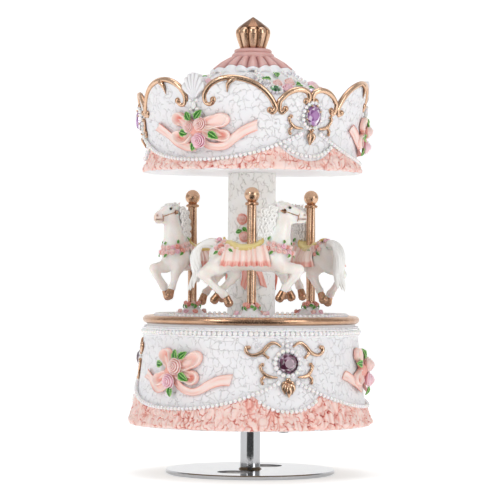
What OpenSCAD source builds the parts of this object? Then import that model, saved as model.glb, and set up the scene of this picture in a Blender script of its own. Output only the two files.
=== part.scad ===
// Wind-up carousel music box: three galloping horses on a round base under a crown canopy.
// The whole carousel turns on a polished disc stand, which is also the winding key.
// Millimetres, +Z up, origin on the table under the stand's centre.
// Azimuths are in degrees: 0 is the front (-Y) and they grow towards the right (+X).

/* [Stand] */
// Diameter of the polished stand disc
disc_d = 76; // [70:1:84]
// Thickness of the stand disc
disc_t = 2; // [1.6:0.1:2.4]
// Diameter of the stem between the disc and the base
stem_d = 9; // [8.5:0.1:10]

/* [Base] */
// Diameter of the drum at its top
drum_d = 95.6; // [94:0.2:98]
// How far the drum flares out at its foot, on the radius
drum_flare = 5.4; // [4:0.2:7]
// Wall of the drum at its top
drum_wall = 3.6; // [3:0.1:3.8]
// Thickness of the gold rim round the platform
rim_t = 3.8; // [3:0.1:4]

/* [Horses] */
// Distance from the middle to each pole
pole_ring = 31; // [30:0.5:33]
// Diameter of the brass poles
pole_d = 4.4; // [4:0.1:4.6]
// Diameter of the ball on each pole
ball_d = 7; // [6:0.2:8]
// Extra turn of the front, right and left horse about its pole, in degrees
horse_yaw = [0, 0, -14]; // [-20:1:20]

/* [Canopy] */
// Diameter of the column that carries the canopy
column_d = 21.6; // [20:0.2:23]
// Wall of the crown
crown_wall = 2.6; // [2:0.1:3]
// Number of pleats in each ruffle
pleats = 30; // [24:3:36]
// Diameter of the pearls on the swags
pearl_d = 1.7; // [1.2:0.1:1.75]

/* [Movement] */
// Radius of the winding arbor
arbor_r = 2; // [1.8:0.1:2.1]
// Running clearance on the radius of every shaft
run_gap = 0.05; // [0.03:0.01:0.08]
// Number of teeth in the comb
comb_teeth = 18; // [12:1:18]

/* [Hidden] */

$fn = 48;
thirds = [0, 120, 240];

// Heights of the stack, from the table up
base_z = 22;
bed_z = 24;
bed_top = 27;
drum_top = 66;
platform_z = 70;
ceiling_z = 134;
ceiling_t = 2.5;
roof_low = 158.5;
roof_high = 180;
finial_z = 189.6;

// Azimuths of the ornaments on the base and on the canopy
base_jewel_a = 18.6;
base_bow_a = -43;
base_swag_a = -41.4;
crown_jewel_a = 31.4;
crown_bow_a = -30;
crown_swag_a = -28.6;
cross_angle = 42.4;

// ---- shared functions and modules ----

// Radius of the drum's outer wall at height z
function drum_r(z) = drum_d / 2 + drum_flare * pow((drum_top - z) / (drum_top - base_z), 1.8);
// Radius of the crown's outer wall at height z: waisted above the ruffle, flared at the top
function crown_r(z) = z < 144 ? 46.6 + 1.6 * pow((144 - z) / 10, 2) : 46.6 + 5 * pow((z - 144) / 28, 1.1);
// Radius of the wall behind an ornament: the drum's (0) or the crown's (1)
function drum_or_crown(which, z) = which == 0 ? drum_r(z) : crown_r(z);
// Signed angle from a to the nearest of three centres, c and every third of a turn on
function from_centre(a, c) = let (d = a - c + 3660) d - 120 * floor(d / 120) - 60;
// Height of a long swag above its low point, at angle u from its middle
function swag_rise(u, span) = 6.6 * pow(min(abs(u) / span, 1.42), 2.2);
// Height of the ruffle's top edge: the lower of the long swag and the short one under the jewel
function hem(a, low, long_a, jewel_a) =
    let (u = from_centre(a, long_a), v = from_centre(a, jewel_a))
    low + (abs(v) < 60 - cross_angle ? swag_rise(v, 60 - cross_angle) : swag_rise(u, cross_angle));
// Top edge of the crown at azimuth a: a notch behind each shell, a big arch, then a small arch at the jewel
function crown_top(a) = let (p = abs(from_centre(a, crown_bow_a)))
    p < 5 ? 163.2 :
    p < 19 ? 163 + 10 * sqrt(1 - pow((19 - p) / 14, 2)) :
    p < 42 ? 154 + 19 * sqrt(1 - pow((p - 19) / 24, 2)) :
    p < 54 ? 155 + 13.3 * sqrt(1 - pow((54 - p) / 13, 2)) :
    162 + 6.3 * sqrt(1 - pow((p - 54) / 7, 2));
function around(a, r, z) = [r * sin(a), -r * cos(a), z];

// Places children at azimuth a: local X runs to the right along the wall, Y up and Z outwards
module on_wall(a, r, z) rotate([0, 0, a]) translate([0, -r, z]) rotate([90, 0, 0]) children();
// The triangles that join ring i to ring j of k points each
function band(i, j, k) = [for (p = [0 : k - 1]) let (q = (p + 1) % k)
    each [[i * k + p, j * k + p, j * k + q], [i * k + p, j * k + q, i * k + q]]];
// A closed ring round the Z axis from a list of sections, one per azimuth. Each lists [radius, height] from the
// inside over the top to the outside.
module ring_of(sections) {
    n = len(sections);
    k = len(sections[0]);
    points = [for (i = [0 : n - 1]) for (s = sections[i]) around(360 * i / n, s[0], s[1])];
    polyhedron(points, [for (i = [0 : n - 1]) each band(i, (i + 1) % n, k)], convexity = 8);
}
// A closed solid from rings of points, capped at both ends
module rings_solid(rings) {
    n = len(rings);
    k = len(rings[0]);
    polyhedron([for (r = rings) each r],
        concat([for (i = [0 : n - 2]) each band(i, i + 1, k)],
            [for (p = [1 : k - 2]) [0, p, p + 1]],
            [for (p = [1 : k - 2]) [(n - 1) * k, (n - 1) * k + p + 1, (n - 1) * k + p]]), convexity = 8);
}
function unit2(v) = v / max(norm(v), 0.001);
function heading(path, i) = unit2(path[min(i + 1, len(path) - 1)] - path[max(i - 1, 0)]);
// A strap of width w and thickness t that lies on a round wall of radius r about azimuth a and height z.
// The path is in millimetres along and up the wall, and taper narrows its two ends.
module strap(path, a, z, r, w, t, sink = 0.6, taper = 0.6) {
    n = len(path);
    rings_solid([for (i = [0 : n - 1])
        let (d = heading(path, i), side = [-d[1], d[0]],
            half = w / 2 * (i == 0 || i == n - 1 ? taper : 1))
        [for (c = [[-1, -sink], [1, -sink], [1, t], [-1, t]])
            let (q = path[i] + side * c[0] * half) around(a + q[0] / r * 180 / PI, r + c[1], z + q[1])]]);
}
function arc(centre, r, from, to, n) = [for (i = [0 : n])
    let (t = from + (to - from) * i / n) centre + [r * cos(t), r * sin(t)]];
function flip(path) = [for (p = path) [-p[0], p[1]]];
// A rose: a cup with a rounded heart, standing on local Z
module rose(r) {
    cylinder(h = r * 0.9, r1 = r * 0.55, r2 = r);
    translate([0, 0, r * 0.9]) sphere(r = r * 0.62);
}
// A pointed leaf of length l lying in local XY
module leaf(l, t = 0.7) linear_extrude(height = t) intersection() {
    translate([l / 2, l * 0.55]) circle(r = l * 0.78);
    translate([l / 2, -l * 0.55]) circle(r = l * 0.78);
}

// ---- stand and winding arbor ----

hole_ring = 19;
hole_r = 8;
stem_top = bed_z - 0.1;
arbor_low = 8;
arbor_top = 42;

module stand_disc() color("silver") difference() {
    rotate_extrude() polygon([[0, 0], [disc_d / 2 - 0.6, 0], [disc_d / 2, 0.6],
        [disc_d / 2, disc_t - 0.5], [disc_d / 2 - 0.5, disc_t], [0, disc_t]]);
    for (a = [-20, 160]) translate(around(a, hole_ring, -1)) cylinder(h = disc_t + 2, r = hole_r);
}
module stand_stem() color("silver") difference() {
    union() {
        translate([0, 0, disc_t]) cylinder(h = stem_top - disc_t, d = stem_d);
        translate([0, 0, disc_t]) cylinder(h = 0.9, d1 = stem_d + 2, d2 = stem_d);
    }
    translate([0, 0, arbor_low]) cylinder(h = stem_top, r = arbor_r + 0.02);
}
module winding_arbor() color("gainsboro") {
    translate([0, 0, arbor_low]) cylinder(h = arbor_top - arbor_low, r = arbor_r);
    translate([0, 0, bed_top + run_gap]) cylinder(h = 0.7, r = arbor_r + 1.2);
}

// ---- gear train ----

crown_n = 48;
cylinder_pinion_n = 24;
crown_m = 0.6;
cylinder_wheel_n = 36;
governor_pinion_n = 12;
governor_wheel_n = 20;
train_m = 0.5;
crown_pitch_r = crown_n * crown_m / 2;
crown_disc_z = bed_top + 0.8;
crown_face_z = 29;
crown_pitch_z = crown_face_z + 0.6;
// Axis of the pin cylinder, along X
cyl_z = crown_pitch_z + cylinder_pinion_n * crown_m / 2 + 0.05;
cyl_r = 5.8;
cyl_x0 = 18.5;
cyl_x1 = 37.5;
pin_h = 0.5;
// Axis of the governor wheel, along X
gov_step = (cylinder_wheel_n + governor_pinion_n) * train_m / 2 / sqrt(2) + 0.05;
gov_y = gov_step;
gov_z = cyl_z + gov_step;
// Axis of the worm, along Z
worm_r = 1.6;
worm_lead = PI * train_m;
worm_x = 30.5;
worm_y = gov_y + governor_wheel_n * train_m / 2 + worm_r + 0.12;

// A spur gear outline whose first tooth points along local X
module gear_outline(n, m, add = 0.7, ded = 1) {
    r = n * m / 2;
    step = 360 / n;
    polygon([for (i = [0 : n - 1]) for (c = [[-0.31, -ded], [-0.12, add], [0.12, add], [0.31, -ded]])
        let (t = (i + c[0]) * step, q = r + c[1] * m) [q * cos(t), q * sin(t)]]);
}
// Stands children's Z axis along +X, with their local X along up
module along_x(x, y, z) translate([x, y, z]) rotate([0, 90, 0]) rotate([0, 0, 180]) children();

module crown_wheel() color("goldenrod") {
    difference() {
        union() {
            translate([0, 0, crown_disc_z]) cylinder(h = crown_face_z - crown_disc_z, r = crown_pitch_r + 1);
            translate([0, 0, crown_disc_z]) cylinder(h = 2.8, r = 5);
            for (i = [0 : crown_n - 1]) rotate([0, 0, (i + 0.5) * 360 / crown_n])
                translate([crown_pitch_r - 0.8, 0, crown_face_z - 0.2]) rotate([90, 0, 90])
                    linear_extrude(height = 1.6) polygon([[-0.46, 0], [0.46, 0], [0.2, 1.2], [-0.2, 1.2]]);
        }
        translate([0, 0, crown_disc_z - 1]) cylinder(h = 6, r = arbor_r);
    }
}
// The comb's tracks and the pins that pluck them: a fixed pattern that wraps round the cylinder
function track_x(i) = cyl_x0 + 1 + i;
module pin_cylinder() color("gold") {
    along_x(cyl_x0, 0, cyl_z) cylinder(h = cyl_x1 - cyl_x0, r = cyl_r);
    for (i = [0 : comb_teeth - 1]) for (k = [0 : 3])
        translate([track_x(i), 0, cyl_z]) rotate([i * 67 + k * 90 + 11, 0, 0])
            translate([0, 0, cyl_r - 0.3]) cylinder(h = pin_h + 0.3, r = 0.22, $fn = 8);
}
module cylinder_wheels() color("goldenrod") {
    along_x(crown_pitch_r - 1.2, 0, cyl_z) linear_extrude(height = 2.4)
        gear_outline(cylinder_pinion_n, crown_m);
    along_x(40.6, 0, cyl_z) linear_extrude(height = 1.2)
        rotate(45) gear_outline(cylinder_wheel_n, train_m);
    along_x(12.6, 0, cyl_z) cylinder(h = cyl_x0 - 12.6, r = 1);
    along_x(cyl_x1, 0, cyl_z) cylinder(h = 42.2 - cyl_x1, r = 1);
}
module governor_wheel() color("ivory") {
    along_x(26, gov_y, gov_z) cylinder(h = 17, r = 0.6);
    along_x(40.4, gov_y, gov_z) linear_extrude(height = 1.6)
        rotate(45 + 180 / governor_pinion_n) gear_outline(governor_pinion_n, train_m);
    along_x(worm_x - 0.5, gov_y, gov_z) linear_extrude(height = 1)
        rotate(90) gear_outline(governor_wheel_n, train_m, 0.7, 1.1);
}
module governor_worm() color("silver") {
    turns = 5;
    translate([worm_x, worm_y, gov_z - turns * worm_lead / 2]) {
        rotate([0, 0, -90])
            linear_extrude(height = turns * worm_lead, twist = -360 * turns, slices = turns * 8)
            translate([0.42, 0]) circle(r = 1.42, $fn = 10);
    }
    translate([worm_x, worm_y, 29.1]) cylinder(h = gov_z - turns * worm_lead / 2 - 29.1, r = 0.6);
    translate([worm_x, worm_y, gov_z + turns * worm_lead / 2]) cylinder(h = 2.9, r = 0.6);
}
module governor_fan() color("black") translate([worm_x, worm_y, 31]) {
    difference() {
        union() {
            cylinder(h = 6, r = 1.4);
            translate([-4.6, -0.3, 0.5]) cube([9.2, 0.6, 5]);
        }
        translate([0, 0, -1]) cylinder(h = 8, r = 0.6);
    }
}

// ---- movement frame ----

comb_riser_y = [-22.8, -16];
module movement_bedplate() color("lightgray") difference() {
    union() {
        translate([0, 0, bed_z]) linear_extrude(height = bed_top - bed_z)
            polygon([[-20, -17], [12, -20], [17, -23.5], [37.8, -23], [40, -8], [40, 12], [34, 25],
                [-20, 17]]);
        translate([cyl_x0, comb_riser_y[0], bed_top - 0.5])
            cube([19, comb_riser_y[1] - comb_riser_y[0], cyl_z - 1.2 - bed_top + 0.5]);
        translate([16.3, -3, bed_top - 0.5]) cube([1.5, 6, cyl_z + 3 - bed_top + 0.5]);
        translate([38.4, -4, bed_top - 0.5]) cube([1.4, 15.5, gov_z + 2.5 - bed_top + 0.5]);
        translate([26.5, gov_y - 1.3, bed_top - 0.5]) cube([1.5, 2.8, gov_z + 2 - bed_top + 0.5]);
        for (s = [-1, 1]) translate([17.5 * cos(120), s * 17.5 * sin(120), bed_top - 0.5])
            cylinder(h = 4.5, r = 1.8);
        translate([worm_x, worm_y, bed_top - 0.5]) cylinder(h = 2.5, r = 1.6);
    }
    translate([0, 0, bed_z - 1]) cylinder(h = 5, r = 4);
    along_x(10, 0, cyl_z) cylinder(h = 40, r = 1 + run_gap);
    along_x(20, gov_y, gov_z) cylinder(h = 25, r = 0.6 + run_gap);
    for (x = [21, 28, 35]) translate([x, -19.5, 30]) cylinder(h = 8, r = 1);
}
module arbor_bush() color("goldenrod") difference() {
    translate([0, 0, bed_z - 0.05]) cylinder(h = bed_top - bed_z + 0.05, r = 4);
    translate([0, 0, bed_z - 1]) cylinder(h = 5, r = arbor_r + run_gap);
}
module spring_housing() color("silver") difference() {
    union() {
        rotate_extrude()
            polygon([[0, 44], [11.3, 44], [11.8, 43.5], [11.8, 31], [11, 31], [11, 43.2], [0, 43.2]]);
        for (s = [-1, 1]) rotate([0, 0, s * 120]) translate([10.9, -2.2, 31]) cube([8.8, 4.4, 0.9]);
    }
}
module mainspring() color("dimgray") translate([0, 0, 32]) linear_extrude(height = 10) {
    turns = 9;
    coil = [for (i = [0 : turns * 16]) [2.7 + i * 0.8 / 16, i * 360 / 16]];
    polygon(concat([for (c = coil) c[0] * [cos(c[1]), sin(c[1])]],
        [for (i = [len(coil) - 1 : -1 : 0]) (coil[i][0] + 0.3) * [cos(coil[i][1]), sin(coil[i][1])]]));
}
module comb() color("lightsteelblue") difference() {
    union() {
        translate([cyl_x0, comb_riser_y[0], cyl_z - 1.2]) cube([19, 6.3, 2]);
        for (i = [0 : comb_teeth - 1]) translate([track_x(i) - 0.38, -17, cyl_z - 0.25])
            cube([0.76, 17 - cyl_r - pin_h - 0.2, 0.5]);
    }
    for (x = [21, 28, 35]) translate([x, -19.5, 30]) cylinder(h = 10, r = 1);
}
module comb_screws() color("gray") for (x = [21, 28, 35]) translate([x, -19.5, 0]) {
    translate([0, 0, 31]) cylinder(h = cyl_z - 30.2, r = 0.95);
    difference() {
        translate([0, 0, cyl_z + 0.8]) cylinder(h = 1.2, r = 1.8);
        translate([-2, -0.25, cyl_z + 1.5]) cube([4, 0.5, 1]);
    }
}
module governor_post() color("silver") difference() {
    union() {
        translate([worm_x, worm_y + 6.6, bed_top]) cylinder(h = 25.6, r = 1.5);
        translate([worm_x - 1.5, worm_y - 1.6, 51.2]) cube([3, 8.6, 1.4]);
    }
    translate([worm_x, worm_y, 50]) cylinder(h = 4, r = 0.6 + run_gap);
}

// ---- base ----

drum_levels = [for (z = [base_z : 4 : drum_top]) z];
boss_angles = [20, 140, 260];
module base_drum() color("ghostwhite") difference() {
    union() {
        difference() {
            rotate_extrude()
                polygon(concat([[0, base_z]], [for (z = drum_levels) [drum_r(z) - 0.02, z]],
                    [[0, drum_top]]));
            translate([0, 0, base_z - 1]) cylinder(h = 63.5 - base_z + 1, r = drum_d / 2 - drum_wall);
            translate([0, 0, base_z - 1]) cylinder(h = 19, r = 46);
        }
        for (a = boss_angles) translate(around(a, 42.6, bed_z)) cylinder(h = 12, r = 2.4);
    }
    for (a = boss_angles) translate(around(a, 42, bed_z - 1)) cylinder(h = 9, r = 1);
}
// A pleated skirt from height low up to the list high_of, with radii r_of at its foot, belly and waist
module ruffle(which, low, high_of, r_of) {
    columns = pleats * 4;
    ring_of([for (i = [0 : columns - 1])
        let (puff = [0, 0.5, 1, 0.5][i % 4], top = high_of[i], wall = drum_or_crown(which, top))
        [[wall - 0.3, top], [wall + 0.7, top], [r_of[2] + puff * 0.6, (low + top) / 2 + 1],
            [r_of[1] + puff, low + 2.2], [r_of[0] + puff * 0.5, low],
            [drum_or_crown(which, low) - 0.3, low]]]);
}
module base_ruffle() color("lightpink")
    ruffle(0, base_z, [for (i = [0 : pleats * 4 - 1]) hem(i * 90 / pleats, 30.6, base_swag_a, base_jewel_a)],
        [53.4, 54.2, 52.2]);
module base_bottom_plate() color("burlywood") difference() {
    translate([0, 0, base_z]) cylinder(h = bed_z - base_z, r = 45.9);
    translate([0, 0, base_z - 1]) cylinder(h = 5, r = 6);
    for (a = boss_angles) translate(around(a, 42, base_z - 1)) cylinder(h = 5, r = 1.1);
}
module bottom_screws() color("gray") for (a = boss_angles) translate(around(a, 42, 0)) difference() {
    union() {
        translate([0, 0, base_z - 1.1]) cylinder(h = 1.1, r = 2.2);
        translate([0, 0, base_z - 0.1]) cylinder(h = 9, r = 0.95);
    }
    for (t = [0, 90]) rotate([0, 0, t]) translate([-1.3, -0.2, base_z - 1.6]) cube([2.6, 0.4, 1.1]);
}
module base_pearl_rope() color("white") rotate_extrude()
    translate([drum_r(63.6) + 0.1, 63.6]) circle(r = 1.4);
// Pearls strung along a swag: every angle in steps that keep them a diameter apart
module swag_pearls(mid_a, reach, low, span, r_of_z) {
    pitch = pearl_d + 0.16;
    n = floor(reach * PI / 180 * drum_or_crown(r_of_z, low) * 1.04 / pitch);
    for (i = [-n : n]) {
        u = reach * sign(i) * pow(abs(i) / n, 0.9);
        z = low + swag_rise(u, span);
        translate(around(mid_a + u, drum_or_crown(r_of_z, z) + 0.9, z)) sphere(d = pearl_d, $fn = 16);
    }
}
module base_pearl_swags() color("white") for (t = thirds) {
    swag_pearls(base_swag_a + t, 55, 31, cross_angle, 0);
    swag_pearls(base_jewel_a + t, 14, 30.4, 60 - cross_angle, 0);
}
module platform() color("ghostwhite") {
    translate([0, 0, drum_top]) cylinder(h = 1, r = 46.4);
    translate([0, 0, drum_top]) cylinder(h = platform_z - drum_top, r = 44.5);
}
module gold_rim() color("peru") rotate_extrude() translate([46.5, 68.8]) circle(d = rim_t);
module platform_pearls() color("white") for (i = [0 : 107])
    translate(around(i * 360 / 108, 42.6, platform_z + 0.75)) sphere(d = 1.5, $fn = 16);

// ---- ornaments shared by the base and the canopy ----

// Ribbon paths of a bow, in millimetres from its knot
right_tail = [[2, -4], [5, -6.6], [9.5, -7.6], [14, -6.2], [18.5, -4], [23.5, -2.6], [28, -2.2]];
left_tail = [[-2, -4], [-6, -7], [-11, -6.8], [-15.5, -4], [-19.5, -1], [-24, 0.6]];
function loop(x, y, rx, ry, tilt) =
    [for (i = [0 : 11]) let (t = 30 * i + tilt) [x + rx * cos(t), y + ry * sin(t)]];
bow_loops = [[-6.5, 6.5, 2.6, 2.2, 320], [7.5, 5, 3, 2.8, 230], [6, -2.6, 2.8, 2.6, 140],
    [-8, -2.2, 2.8, 2.2, 30]];
module bow(a, z, r) {
    for (tail = [right_tail, left_tail]) strap(tail, a, z, r, 3.6, 1.1, 0.6, 1);
    for (l = bow_loops) strap(loop(l[0], l[1], l[2], l[3], l[4]), a, z, r, 2.2, 2.4, 0.6, 1);
    on_wall(a, r - 1.5, z) cylinder(h = 4, r = 2.6);
}
rose_spots = [[3.3, 1.8, 3.3], [1.4, -5, 3.1]];
leaf_spots = [[-1, 6, 100], [3.4, 5.6, 60], [-9.5, 2.2, 170], [7, -4.6, 330], [-3, -10.2, 250]];
module bow_roses(a, z, r) for (s = rose_spots)
    on_wall(a + s[0] / r * 57.3, r + 1.6, z + s[1]) rose(s[2]);
module bow_leaves(a, z, r) for (s = leaf_spots)
    on_wall(a + s[0] / r * 57.3, r + 1.2, z + s[1]) rotate([0, 0, s[2]]) rotate([0, -14, 0]) leaf(4.4);

upper_scroll = [[-3.1, 7.4], [-5, 8.8], [-7, 9], [-9.1, 7.6], [-11.1, 5.4], [-13.4, 4], [-15.8, 3.6],
    [-17.8, 4.4], [-18.8, 5.8], [-18.4, 7.2]];
upper_branch = [[-10.9, 5.4], [-10.4, 3.9], [-8.8, 2.4]];
lower_scroll = [[-4.8, -6], [-7.5, -5.8], [-9.6, -5], [-11.2, -3.2], [-11.8, -1.3], [-11, -0.6]];
lower_branch = [[-9.6, -5.4], [-11.3, -7], [-10.9, -8.5]];
module jewel_scrolls(a, z, r, paths, drop) {
    for (p = paths) for (q = [p, flip(p)]) strap(q, a, z, r, 1.1, 1.1, 0.5, 0.7);
    on_wall(a, r - 0.4, z - drop) {
        rotate([0, 0, 90]) translate([-4.6, 0, 0]) leaf(7, 1.8);
        translate([0, 3.4, 0]) cylinder(h = 2, r = 0.9);
    }
}
// A brilliant-cut stone in its cup
module gem(r) rotate([0, 0, 22.5]) {
    cylinder(h = 1.4, r1 = r * 0.9, r2 = r, $fn = 12);
    translate([0, 0, 1.4]) cylinder(h = r * 0.36, r1 = r, r2 = r * 0.6, $fn = 12);
}
module gem_pearls(r, d, n) for (i = [0 : n - 1]) rotate([0, 0, i * 360 / n])
    translate([r, 0, 0.8]) sphere(d = d, $fn = 16);

base_jewel_z = 51;
crown_jewel_z = 157.4;
base_bow_z = 47;
crown_bow_z = 152;
module base_bows() color("pink") for (t = thirds) bow(base_bow_a + t, base_bow_z, drum_r(base_bow_z));
module base_roses() color("pink") for (t = thirds) bow_roses(base_bow_a + t, base_bow_z, drum_r(base_bow_z));
module base_leaves() color("forestgreen") for (t = thirds)
    bow_leaves(base_bow_a + t, base_bow_z, drum_r(base_bow_z));
module base_scrolls() color("peru") for (t = thirds)
    jewel_scrolls(base_jewel_a + t, base_jewel_z, drum_r(base_jewel_z),
        [upper_scroll, upper_branch, lower_scroll, lower_branch], 11);
module base_gems() color("rebeccapurple") for (t = thirds)
    on_wall(base_jewel_a + t, drum_r(base_jewel_z) + 0.2, base_jewel_z) gem(4);
module base_gem_pearls() color("white") for (t = thirds)
    on_wall(base_jewel_a + t, drum_r(base_jewel_z) + 0.1, base_jewel_z) {
        gem_pearls(5.5, 2, 16);
        for (k = [0 : 2]) translate([0, 7.8 + 2.1 * k, 0.6]) sphere(d = 1.9 - 0.1 * k, $fn = 16);
    }

// ---- column, poles and mounds ----

module column() color("ivory") difference() {
    translate([0, 0, platform_z]) cylinder(h = ceiling_z - platform_z, d = column_d);
    translate([0, 0, platform_z + 3]) cylinder(h = ceiling_z - platform_z - 6, d = column_d - 8);
}
spray = [[-4, 112, 2.6], [-2.6, 104, 2.4], [-7, 98, 2.2]];
spray_tails = [[[0, 0], [-2, -4], [-1.4, -9], [-3.4, -13]], [[0, 0], [3, -4], [5, -9], [8, -12]]];
module column_spray() color("lightcoral") for (t = thirds) {
    for (s = spray) on_wall(t + s[0] / column_d * 114.6, column_d / 2 - 0.3, s[1]) rose(s[2] * 0.8);
    for (path = spray_tails) strap(path, t - 6, 97, column_d / 2, 2.4, 0.8, 0.4, 1);
}
mound_r = 9.2;
mound_h = 5.6;
module mound() difference() {
    rotate_extrude() polygon(concat([[0, 0]],
        [for (i = [0 : 8]) let (s = i / 8) [mound_r - 6 * s, mound_h * pow(sin(90 * s), 1.3)]],
        [[0, mound_h]]));
    translate([0, 0, 1.5]) cylinder(h = 9, d = pole_d + 0.06);
}
module pole_mounds() color("ghostwhite") for (t = thirds) translate(around(t, pole_ring, platform_z)) mound();
module mound_roses() color("pink") for (t = thirds) translate(around(t, pole_ring, platform_z)) {
    for (i = [0 : 5]) rotate([0, 0, i * 60]) translate([3.9, 0, mound_h - 0.9]) rotate([0, 30, 0]) rose(1.5);
    for (i = [0 : 9]) rotate([0, 0, i * 36]) translate([7.9, 0, 1.5]) rotate([0, 50, 0]) rose(0.95);
}
pole_low = platform_z + 1.6;
collar_z = 119.4;
ball_z = 124.2;
module pole() {
    translate([0, 0, pole_low]) cylinder(h = collar_z - pole_low, d = pole_d);
    translate([0, 0, collar_z]) cylinder(h = 1.1, d = pole_d + 2.3);
    translate([0, 0, collar_z]) cylinder(h = 3, d = 3.6);
    translate([0, 0, ball_z]) sphere(d = ball_d);
}
module pole_at(t) color("peru") translate(around(t, pole_ring, 0)) pole();

// ---- horse: X forwards, Y to its left, Z up from the table, at its pole ----

module blob(p, r, s = [1, 1, 1]) translate(p) scale(s) sphere(r = r, $fn = 14);
module limb(p, rp, q, rq) hull() {
    translate(p) sphere(r = rp, $fn = 10);
    translate(q) sphere(r = rq, $fn = 10);
}
// Each leg: side, then the joints from the body down to the hoof, as [x, z, radius]
legs = [[-3, [[10, 94, 4.4], [20.4, 91.4, 2.5], [13.6, 82.6, 1.5], [12.2, 80, 1.9]]],
    [3, [[8, 94, 4.2], [13, 88, 2.4], [15.6, 82.6, 1.5], [17, 79.6, 1.9]]],
    [-3, [[-11, 95, 5], [-20, 89, 2.4], [-12.6, 80.4, 1.5], [-10.4, 77.4, 1.9]]],
    [3, [[-9, 94, 4.8], [-8, 86.6, 2.3], [-13.4, 81.6, 1.5], [-16, 78.8, 1.9]]]];
tail_path = [[-16, 101, 2], [-20.4, 103.4, 2.2], [-25, 100.4, 2.5], [-26.8, 93.6, 2.6], [-25.6, 87, 1.6]];
module horse_shape() {
    hull() {
        blob([10, 0, 97.4], 6.6, [1.15, 0.86, 1.1]);
        blob([0, 0, 95.8], 6.4, [1, 0.84, 1]);
        blob([-10, 0, 96.6], 6.6, [1.1, 0.88, 1]);
    }
    hull() {
        blob([10.6, 0, 99], 5.6, [1.1, 0.8, 1]);
        blob([12.2, 0, 108], 4.6, [1.05, 0.7, 1]);
    }
    hull() {
        blob([12.2, 0, 108], 4.6, [1.05, 0.7, 1]);
        blob([14, 0, 117.2], 3.6, [1.1, 0.72, 1]);
    }
    hull() {
        blob([14, 0, 117.2], 3.6, [1.1, 0.72, 1]);
        blob([21.4, 0, 114], 2.1, [1, 0.8, 1]);
    }
    for (s = [-1, 1]) translate([11.8, s * 1.6, 119.6]) cylinder(h = 3.4, r1 = 1.1, r2 = 0.2, $fn = 8);
    for (l = legs) for (i = [0 : 2])
        let (p = l[1][i], q = l[1][i + 1]) limb([p[0], l[0], p[1]], p[2], [q[0], l[0], q[1]], q[2]);
    for (i = [0 : len(tail_path) - 2])
        let (p = tail_path[i], q = tail_path[i + 1]) limb([p[0], 0, p[1]], p[2], [q[0], 0, q[1]], q[2]);
}
module at_pole(i) translate(around(i * 120, pole_ring, 0)) rotate([0, 0, i * 120 + horse_yaw[i]]) children();
module horse(i) color("ivory") at_pole(i) difference() {
    horse_shape();
    translate([0, 0, 80]) cylinder(h = 30, d = pole_d + 0.2, $fn = 32);
}
module saddles() color("khaki") for (i = [0 : 2]) at_pole(i) difference() {
    translate([-9, -4.4, 100.4]) cube([17, 8.8, 3.4]);
    translate([-0.5, 0, 114.4]) rotate([90, 0, 0]) cylinder(h = 12, r = 12.8, center = true);
    translate([0, 0, 96]) cylinder(h = 12, d = pole_d + 0.2);
}
module saddle_cloths() color("lightpink") for (i = [0 : 2]) at_pole(i) for (s = [-1, 1])
    translate([-1, s * 5.4, 95.6]) rotate([s * 8, 0, 0]) cube([18, 1.4, 9.6], center = true);
// Roses strung round the chest and down both sides of the rump
module horse_garlands() color("lightcoral") for (i = [0 : 2]) at_pole(i) {
    for (k = [0 : 8]) let (t = -100 + 25 * k)
        translate([11 + 8.2 * cos(t), 6.3 * sin(t), 100.4 - 2.4 * cos(t)]) sphere(r = 1.3, $fn = 16);
    for (s = [-1, 1]) for (k = [0 : 2])
        translate([-9.6 - 1.7 * k, s * (6.4 - 1.7 * k), 99.2 + 1.9 * k]) sphere(r = 1.4, $fn = 16);
}

// ---- canopy ----

module canopy_ceiling() color("ghostwhite") translate([0, 0, ceiling_z])
    cylinder(h = ceiling_t, r = crown_r(ceiling_z) - crown_wall);
crown_columns = 120;
crown_rows = 4;
module canopy_crown() color("ghostwhite") ring_of([for (i = [0 : crown_columns - 1])
    let (top = crown_top(i * 360 / crown_columns), step = (top - ceiling_z) / (crown_rows - 1))
    concat(
        [for (k = [0 : crown_rows - 1]) let (z = ceiling_z + step * k) [crown_r(z) - crown_wall + 0.03, z]],
        [for (k = [crown_rows - 1 : -1 : 0]) let (z = ceiling_z + step * k) [crown_r(z), z]])]);
module canopy_ruffle() color("lightpink")
    ruffle(1, ceiling_z,
        [for (i = [0 : pleats * 4 - 1]) hem(i * 90 / pleats, 138, crown_swag_a, crown_jewel_a)],
        [48.3, 48.1, 47.3]);
module canopy_pearl_swags() color("white") for (t = thirds) {
    swag_pearls(crown_swag_a + t, 54, 138.4, cross_angle, 1);
    swag_pearls(crown_jewel_a + t, 14, 140, 60 - cross_angle, 1);
}
// Gold C-scrolls along the arches, in millimetres along the wall from each shell
trim_r = 49.6;
mm_deg = trim_r * PI / 180;
function edge_path(from, to, n) = [for (i = [0 : n])
    let (p = from + (to - from) * i / n) [p * mm_deg, crown_top(crown_bow_a + p) + 0.2]];
big_arch = concat([[10 * mm_deg, 163.6], [8.6 * mm_deg, 162.2], [6.4 * mm_deg, 162.6]], edge_path(5.6, 41, 10),
    [[41.2 * mm_deg, 159.8], [39.8 * mm_deg, 158.4], [38 * mm_deg, 159.8]]);
small_arch = concat([[46.4 * mm_deg, 159.8], [44.6 * mm_deg, 158.2], [43.2 * mm_deg, 160]],
    edge_path(43.4, 58.6, 8), [[59.2 * mm_deg, 164.4], [57.2 * mm_deg, 163.6]]);
module crown_trim() color("peru") for (t = thirds) for (p = [big_arch, small_arch]) for (q = [p, flip(p)])
    strap(q, crown_bow_a + t, 0, trim_r, 2, 2, 3, 0.8);
shell_edge = [for (i = [0 : 28])
    let (g = 155 - 130 * i / 28, q = 10.6 + 0.5 * abs(sin(7 * (g - 25) * 180 / 130)))
    [q * 0.66 * cos(g), q * sin(g) + 0.6]];
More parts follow.
